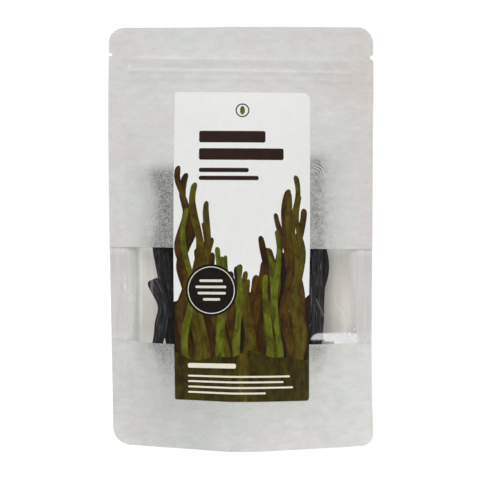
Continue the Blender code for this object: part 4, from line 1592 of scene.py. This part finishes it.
@dataclass(frozen=True)
class Frond:
    """A tall wavy frond of the printed picture, all sizes in millimetres on the flat label."""

    x: float
    low: float
    high: float
    half: float
    wave: float
    wave_length: float
    phase: float
    lean: float
    ink: Ink
    spread: float = 0.0
    settle: float = 12.0
    stations: int = 40
    narrower: float = 0.45
    uneven: float = 0.10
    uneven_length: float = 3.9
    tip_length: float = 1.6

    def centre(self, height: Array) -> Array:
        """Middle of the frond at a height."""
        swing = self.wave * np.sin(2 * np.pi * height / self.wave_length + self.phase)
        above = np.maximum(height - self.low, 0.0)
        return self.x + swing + self.lean * above + self.spread * above**2 / (above + self.settle)

    def outline(self) -> Array:
        """Closed outline of the frond, narrowing to a blunt tip."""
        height = np.linspace(self.low, self.high - self.half, self.stations)
        share = (height - self.low) / (self.high - self.low)
        uneven = 1 + self.uneven * np.sin(height / self.uneven_length + self.phase * 3)
        half = self.half * (1 - self.narrower * share**1.5) * uneven
        turn = np.linspace(0, np.pi, 9)[1:-1]
        tip_height = height[-1] + np.sin(turn) * half[-1] * self.tip_length
        tip_x = self.centre(tip_height) + np.cos(turn) * half[-1]
        right = np.stack([self.centre(height) + half, height], axis=-1)
        tip = np.stack([tip_x, tip_height], axis=-1)
        left = np.stack([self.centre(height) - half, height], axis=-1)[::-1]
        return np.vstack([right, tip, left])

    def branch(self, start: float, high: float, spread: float) -> "Frond":
        """A second arm that leaves this frond.

        Args:
            start: Height at which it leaves.
            high: Height of its tip.
            spread: How far it leans away for each millimetre up.

        Returns:
            The arm, in the same ink.
        """
        above = start - self.low
        foot = self.x + self.lean * above + self.spread * above**2 / (above + self.settle)
        course = (self.wave, self.wave_length, self.phase, self.lean, self.ink, spread)
        return Frond(foot, start, high, self.half * 0.8, *course)


@dataclass(frozen=True)
class Patch:
    """A printed shape that follows no frond."""

    outline_points: tuple[Span, ...]
    ink: Ink

    def outline(self) -> Array:
        """Closed outline of the shape."""
        return np.array(self.outline_points)

    def centre(self, height: Array) -> Array:
        """The print runs straight up."""
        return np.zeros_like(height)


def rounded_bar(left: float, bottom: float, right: float, top: float, radius: float) -> tuple:
    """Outline of a bar with rounded corners, in millimetres."""
    return cornered_sheet(left, bottom, right, top, (radius,) * 4, 30)


def cornered_sheet(left: float, bottom: float, right: float, top: float, radii: tuple, step: int = 15) -> tuple:
    """Outline of a rectangle whose corners have their own radii, in millimetres.

    Args:
        left: Left edge.
        bottom: Bottom edge.
        right: Right edge.
        top: Top edge.
        radii: Radii of the lower right, upper right, upper left and lower left corners.
        step: Degrees between a corner's points.

    Returns:
        The outline, counterclockwise.
    """
    points = []
    corners = ((right, bottom, -1, 1), (right, top, -1, -1), (left, top, 1, -1), (left, bottom, 1, 1))
    for index, ((x, y, inward_x, inward_y), radius) in enumerate(zip(corners, radii)):
        centre_x, centre_y = x + inward_x * radius, y + inward_y * radius
        for angle in range(90 * index - 90, 90 * index + 1, step):
            turn = math.radians(angle)
            points.append((centre_x + radius * math.cos(turn), centre_y + radius * math.sin(turn)))
    return tuple(points)


def short_steps(outline: Array, step: float = 1.2) -> Array:
    """Divide the sides of a closed outline, so that they can follow the pouch's curve."""
    points = []
    for start, end in zip(outline, np.roll(outline, -1, axis=0)):
        parts = max(1, math.ceil(float(np.hypot(*(end - start))) / step))
        points += [start + (end - start) * part / parts for part in range(parts)]
    return np.array(points)


def disc(x: float, y: float, radius: float, count: int = 48) -> tuple:
    """Outline of a disc, in millimetres."""
    turns = [2 * math.pi * index / count for index in range(count)]
    return tuple((x + radius * math.cos(turn), y + radius * math.sin(turn)) for turn in turns)


@dataclass
class Label:
    """The tall front label, printed with fronds, title bars, a badge and rules: no lettering."""

    form: PouchForm
    relief: Relief
    panels: PouchPanels
    half: float = 41.15
    bottom: float = 29.7
    top: float = 214.9
    turn: float = 0.0078
    lean: float = 0.0065
    corners: tuple[float, float, float, float] = (1.6, 4.4, 1.0, 1.0)
    thickness: float = 0.00012
    clear: float = 0.00019
    columns: int = 46
    rows: int = 96
    print_apart: float = 0.5
    # Fine shape of the sheet as stuck on, in metres: a waist, a sideways bow and a narrower lower right.
    waist: float = 0.007
    waist_heights: Span = (0.135, 0.08)
    bow: float = 0.0005
    bow_heights: Span = (0.128, 0.09)
    narrower: float = 0.0006
    narrow_heights: Span = (0.130, 0.045)
    narrow_reach: float = 0.041
    bleed: float = 3.0
    frond_field: float = 39.0
    frond_heights: tuple[float, float, float] = (112.0, 66.0, 2.2)
    arm_share: float = 0.7
    arm_middle: float = 24.0
    # Each layer of fronds: how many, their half width, how tall they are and their inks in turn.
    layers: tuple = (
        (9, 3.9, 0.92, (Ink.UMBER, Ink.NIGHT, Ink.BRONZE)),
        (10, 3.1, 1.0, (Ink.BRONZE, Ink.OLIVE, Ink.UMBER, Ink.OLIVE)),
        (8, 2.6, 0.95, (Ink.MOSS, Ink.OLIVE, Ink.MOSS)),
    )
    # The plain print: a heading and lines of text at the foot, the badge, the title and the mark.
    heading: tuple[float, float, float] = (49.5, -4.0, 52.4)
    text_left: float = -33.0
    text_top: float = 44.6
    text_pitch: float = 3.3
    text_half: float = 0.55
    text_lengths: tuple[float, ...] = (62.0, 58.0, 64.0, 47.0)
    badge: Span = (-18.5, 96.0)
    badge_discs: tuple = ((15.5, Ink.NIGHT), (14.1, Ink.CREAM), (13.6, Ink.NIGHT))
    badge_top: float = 101.6
    badge_pitch: float = 3.7
    badge_half: float = 0.75
    badge_bars: tuple = ((-7.0, 7.0), (-9.5, 9.0), (-8.2, 8.8), (-5.0, 5.4))
    title_left: float = -26.0
    title_bars: tuple = ((14.0, 184.5, 7.0), (25.0, 174.0, 7.0), (4.0, 166.6, 2.6), (10.0, 161.8, 2.6))
    mark_height: float = 204.0
    mark_discs: tuple = ((4.2, Ink.OLIVE), (3.4, Ink.GROUND))
    leaf_half: Span = (1.5, 2.6)

    def bank(self, level: float, waves: tuple, count: int, ink: Ink) -> Patch:
        """A shape that fills the foot of the print up to a wavy line.

        Args:
            level: Height of the line.
            waves: Height, length and phase of each wave in it.
            count: Points along it.
            ink: Its ink.

        Returns:
            The shape, past the label's edges.
        """
        low, edge = self.bottom - self.bleed, self.half + self.bleed
        line = []
        for x in np.linspace(edge, -edge, count):
            height = level
            for tall, length, phase in waves:
                height = height + tall * math.sin(x / length + phase)
            line.append((x, height))
        return Patch(((-edge, low), (edge, low), *line), ink)

    def fronds(self) -> list[Frond]:
        """The tangle of fronds, layer by layer, each arm under the frond that it leaves."""
        rng = random.Random(8)
        field_half = self.frond_field
        middle, more, power = self.frond_heights
        fronds = []
        for count, half, tall, inks in self.layers:
            for index in range(count):
                x = -field_half + 2 * field_half * (index + rng.uniform(0.2, 0.8)) / count
                high = (middle + more * (abs(x) / field_half) ** power + rng.uniform(-12, 14)) * tall
                half_width, wave, wave_length = half * rng.uniform(0.8, 1.2), rng.uniform(1.2, 2.8), rng.uniform(42, 70)
                course = (half_width, wave, wave_length, rng.uniform(0, 6.28), rng.uniform(-0.02, 0.02))
                frond = Frond(x, self.bottom - self.bleed, high, *course, inks[index % len(inks)])
                if rng.random() < self.arm_share:
                    away = rng.choice((-1, 1)) if abs(x) < self.arm_middle else -math.copysign(1, x)
                    start, end = high * rng.uniform(0.55, 0.7), high - rng.uniform(4, 16)
                    fronds.append(frond.branch(start, end, away * rng.uniform(0.12, 0.24)))
                fronds.append(frond)
        return fronds

    def marks(self) -> list[Patch]:
        """Plain bars for lines of text, the round badge, the title's bars and the round mark."""
        left = self.text_left
        marks = [Patch(rounded_bar(left, *self.heading, 1.0), Ink.CREAM)]
        half = self.text_half
        for row, length in enumerate(self.text_lengths):
            middle = self.text_top - row * self.text_pitch
            marks.append(Patch(rounded_bar(left, middle - half, left + length, middle + half, 0.5), Ink.CREAM))
        x, y = self.badge
        half = self.badge_half
        marks += [Patch(disc(x, y, radius), ink) for radius, ink in self.badge_discs]
        for row, (start, end) in enumerate(self.badge_bars):
            middle = self.badge_top - row * self.badge_pitch
            marks.append(Patch(rounded_bar(x + start, middle - half, x + end, middle + half, 0.7), Ink.CREAM))
        for right, base, tall in self.title_bars:
            marks.append(Patch(rounded_bar(self.title_left, base, right, base + tall, 1.1), Ink.TITLE))
        y = self.mark_height
        marks += [Patch(disc(0, y, radius, 32), ink) for radius, ink in self.mark_discs]
        half, tall = self.leaf_half
        leaf = [(half * math.sin(t), y + tall * math.cos(t)) for t in np.linspace(0, 2 * math.pi, 17)[:-1]]
        return [*marks, Patch(tuple(leaf), Ink.MOSS)]

    def shapes(self) -> list[Frond | Patch]:
        """The printed shapes, from the lowest to the topmost."""
        thicket = self.bank(88, ((4, 7, 1), (3, 2.9, 0)), 60, Ink.UMBER)
        crest = self.bank(57, ((2.2, 9, 1), (1.2, 3.7, 0)), 40, Ink.OLIVE)
        return [thicket, *self.fronds(), crest, *self.marks()]

    def inside(self, outline: Array, spots: Array) -> Array:
        """Which spots lie inside a closed outline."""
        result = np.zeros(len(spots), bool)
        x, y = spots[:, 0], spots[:, 1]
        for (ax, ay), (bx, by) in zip(outline, np.roll(outline, -1, axis=0)):
            crosses = (ay > y) != (by > y)
            if by != ay:
                result ^= crosses & (x < (bx - ax) * (y - ay) / (by - ay) + ax)
        return result

    def offset(self, height: Array) -> Array:
        """How far the label lies outside the panel's inner face: it dips onto the film in the window."""
        form = self.form
        dip = rise(height, form.window_bottom, 0.0015) * fall(height, form.window_top, 0.0015)
        return self.clear + self.panels.lap_step(height) * (1 - dip)

    def cut(self, shapes: list[Frond | Patch]) -> tuple[Array, Array, Array, Array]:
        """Divide the flat label along the outlines of its print.

        Args:
            shapes: The printed shapes.

        Returns:
            Its points, its triangles, and the number of each triangle's ink and shape (-1 on the ground).
        """
        rim = short_steps(np.array(cornered_sheet(-self.half, self.bottom, self.half, self.top, self.corners)))
        points, edges = [], []
        for outline in (rim, *(short_steps(shape.outline()) for shape in shapes)):
            start = len(points)
            points += [Vector(point) for point in outline]
            edges += [(start + index, start + (index + 1) % len(outline)) for index in range(len(outline))]
        for x in np.linspace(-self.half, self.half, self.columns):
            for y in np.linspace(self.bottom, self.top, self.rows):
                points.append(Vector((x, y)))
        found, _, triangles, _, _, _ = delaunay_2d_cdt(points, edges, [], 0, 1e-5)
        flat = np.array([tuple(point) for point in found])
        triangles = np.array(triangles)
        middles = flat[triangles].mean(axis=1)
        kept = self.inside(rim, middles)
        triangles, middles = triangles[kept], middles[kept]
        ink = np.zeros(len(triangles), int)
        owner = np.full(len(triangles), -1)
        inks = list(Ink)
        for index, shape in enumerate(shapes):
            covered = self.inside(shape.outline(), middles)
            ink[covered] = inks.index(shape.ink)
            owner[covered] = index
        used = np.unique(triangles)
        remap = np.full(len(flat), -1)
        remap[used] = np.arange(len(used))
        return flat[used], remap[triangles], ink, owner

    def lay(self, x: Array, height: Array) -> Array:
        """Wrap the flat label round the bulge, stuck on a little turned.

        Args:
            x: Places across the flat label, in metres.
            height: Places up.

        Returns:
            The points on the pouch.
        """
        form = self.form
        middle = (self.bottom + self.top) / 2 * MM
        bend = 2 * form.bulge(height) ** 2 / 3 / (form.flat_width / 2 - form.side_seal) ** 4
        middle_height, half_height = self.waist_heights
        across = x - bend * x**3 - self.waist * x * ((height - middle_height) / half_height) ** 2
        middle_height, half_height = self.bow_heights
        aside = self.bow * np.maximum(0.0, 1 - ((height - middle_height) / half_height) ** 2)
        aside = aside + self.narrower * fall(height, *self.narrow_heights) * np.clip(x / self.narrow_reach, 0.0, 1.0)
        across, up = across + self.turn * (height - middle) - aside, height + self.lean * across
        return form.points(across, up, self.offset(up) + self.relief.at(across, up), FRONT)

    def build(self) -> None:
        """Model the label as one sheet with an ink for each printed shape."""
        shapes = self.shapes()
        flat, triangles, ink, owner = self.cut(shapes)
        x, height = flat[:, 0] * MM, flat[:, 1] * MM
        mesh = bpy.data.meshes.new("label_sheet")
        mesh.from_pydata(self.lay(x, height).tolist(), [], triangles.tolist())
        label = bpy.data.objects.new("label_sheet", mesh)
        bpy.context.scene.collection.objects.link(label)
        uv = mesh.uv_layers.new(name="Print")
        spots = np.stack([x, height], axis=-1)[triangles]
        for index, shape in enumerate(shapes):
            mine = owner == index
            spots[mine, :, 0] -= shape.centre(spots[mine, :, 1] / MM) * MM
            spots[mine, :, 0] += self.print_apart * index
        uv.data.foreach_set("uv", spots.reshape(-1))
        deselect_all()
        label.select_set(True)
        bpy.context.view_layer.objects.active = label
        fronds = (Ink.MOSS, Ink.OLIVE, Ink.BRONZE, Ink.UMBER)
        finishes = [LabelFinish(name, 0.28, 0.5) if name in fronds else LabelFinish(name, 0.004) for name in Ink]
        materials = [finish.material() for finish in finishes]
        for material in materials:
            mesh.materials.append(material)
        mesh.polygons.foreach_set("material_index", ink)
        thicken(label, self.thickness, mesh.polygons[0].normal.y > 0)
        finish_piece(label, "label", materials)


# Studio


@dataclass(frozen=True)
class Studio:
    """Camera, floor and soft light of the picture."""

    picture: float = 480.0
    focal: float = 1322.0
    sensor: float = 36.0
    distance: float = 0.80
    eye_height: float = 0.1275
    azimuth: float = -2.0
    roll: float = -0.35
    middle_x: float = 242.2
    middle_y: float = 237.4
    # The sweep lies flat, bends up at bend_start and goes on as a wall.
    floor_half: float = 4.0
    floor_start: float = -2.5
    floor_length: float = 7.0
    bend_start: float = 2.2
    bend_radius: float = 1.2
    wall_slope: float = 1.6
    sky: float = 0.30
    # Each softbox: name, place, side and power.
    lamp_aim: tuple[float, float, float] = (0.0, 0.0, 0.12)
    lamps: tuple = (
        ("softbox_above", (-0.08, -0.46, 0.76), 0.6, 3.55),
        ("softbox_left", (-1.5, -1.1, 0.5), 1.0, 6.9),
        ("softbox_right", (1.5, -1.1, 0.5), 1.0, 10.6),
    )

    def camera(self) -> None:
        """Stand the camera straight in front, a little to the left."""
        deselect_all()
        turn = math.radians(self.azimuth)
        place = (math.sin(turn) * self.distance, -math.cos(turn) * self.distance, self.eye_height)
        bpy.ops.object.camera_add(location=place)
        camera = bpy.context.active_object
        view = Matrix.Rotation(turn, 4, "Z") @ Matrix.Rotation(math.radians(90), 4, "X")
        view = view @ Matrix.Rotation(math.radians(self.roll), 4, "Z")
        camera.rotation_euler = view.to_euler()
        camera.data.sensor_width = self.sensor
        camera.data.lens = self.focal * self.sensor / self.picture
        camera.data.shift_x = -(self.middle_x - self.picture / 2) / self.picture
        camera.data.shift_y = -(self.picture / 2 - self.middle_y) / self.picture
        bpy.context.scene.camera = camera

    def floor(self) -> None:
        """Lay a white floor that curves up behind the pouch."""
        deselect_all()
        bpy.ops.mesh.primitive_grid_add(x_subdivisions=8, y_subdivisions=40, size=2, calc_uvs=True)
        floor = bpy.context.active_object
        floor.name = "studio_floor"
        for vertex in floor.data.vertices:
            along = self.floor_start + self.floor_length * (vertex.co.y + 1) / 2
            bend = max(along - self.bend_start, 0.0)
            turn = min(bend / self.bend_radius, math.pi / 2)
            wall = max(bend - self.bend_radius * math.pi / 2, 0.0) * self.wall_slope
            y = min(along, self.bend_start) + self.bend_radius * math.sin(turn)
            z = self.bend_radius * (1 - math.cos(turn)) + wall
            vertex.co = Vector((vertex.co.x * self.floor_half, y, z))
        bpy.ops.object.shade_smooth()
        floor.data.materials.append(PaperSweepFinish().material())

    def lamp(self, name: str, place: tuple[float, float, float], size: float, power: float) -> None:
        """Hang a square softbox that faces the pouch.

        Args:
            name: Name of the lamp.
            place: Where it hangs.
            size: Length of its sides.
            power: Its power in watts.
        """
        deselect_all()
        bpy.ops.object.light_add(type="AREA", location=place)
        lamp = bpy.context.active_object
        lamp.name = name
        lamp.data.size = size
        lamp.data.energy = power
        lamp.visible_camera = False
        lamp.rotation_euler = (Vector(self.lamp_aim) - Vector(place)).to_track_quat("-Z", "Y").to_euler()

    def light(self) -> None:
        """Light the pouch softly from the front and above."""
        world = bpy.data.worlds.new("studio_white")
        bpy.context.scene.world = world
        world.use_nodes = True
        white = {"Color": (1.0, 1.0, 1.0, 1.0), "Strength": self.sky}
        fill_inputs(world.node_tree, world.node_tree.nodes["Background"], white)
        for name, place, size, power in self.lamps:
            self.lamp(name, place, size, power)
        bpy.context.scene.view_settings.view_transform = "Standard"

    def build(self) -> None:
        """Set up the whole studio."""
        self.camera()
        self.floor()
        self.light()


def main() -> None:
    """Build the pouch, its contents, label and studio."""
    logging.basicConfig(level=logging.INFO, format="%(name)s: %(message)s")
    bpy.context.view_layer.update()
    form = PouchForm()
    bundle = StrandBundle(form, DriedSeaweedFinish().material())
    bundle.build()
    relief = Relief(form)
    panels = PouchPanels(form, relief, bundle.tree())
    paper = RicePaperFinish("rice_paper_laminate").material()
    back_paper = RicePaperFinish("rice_paper_laminate_back", colour="#dcddd8").material()
    liner = LinerFinish().material()
    panels.front_papers(paper, liner)
    panels.window(ClearFilmFinish().material())
    panels.back(back_paper, liner)
    panels.gusset(back_paper)
    Label(form, relief, panels).build()
    Zipper(form).build(ZipperPlasticFinish())
    Studio().build()


if __name__ == "__main__":
    main()
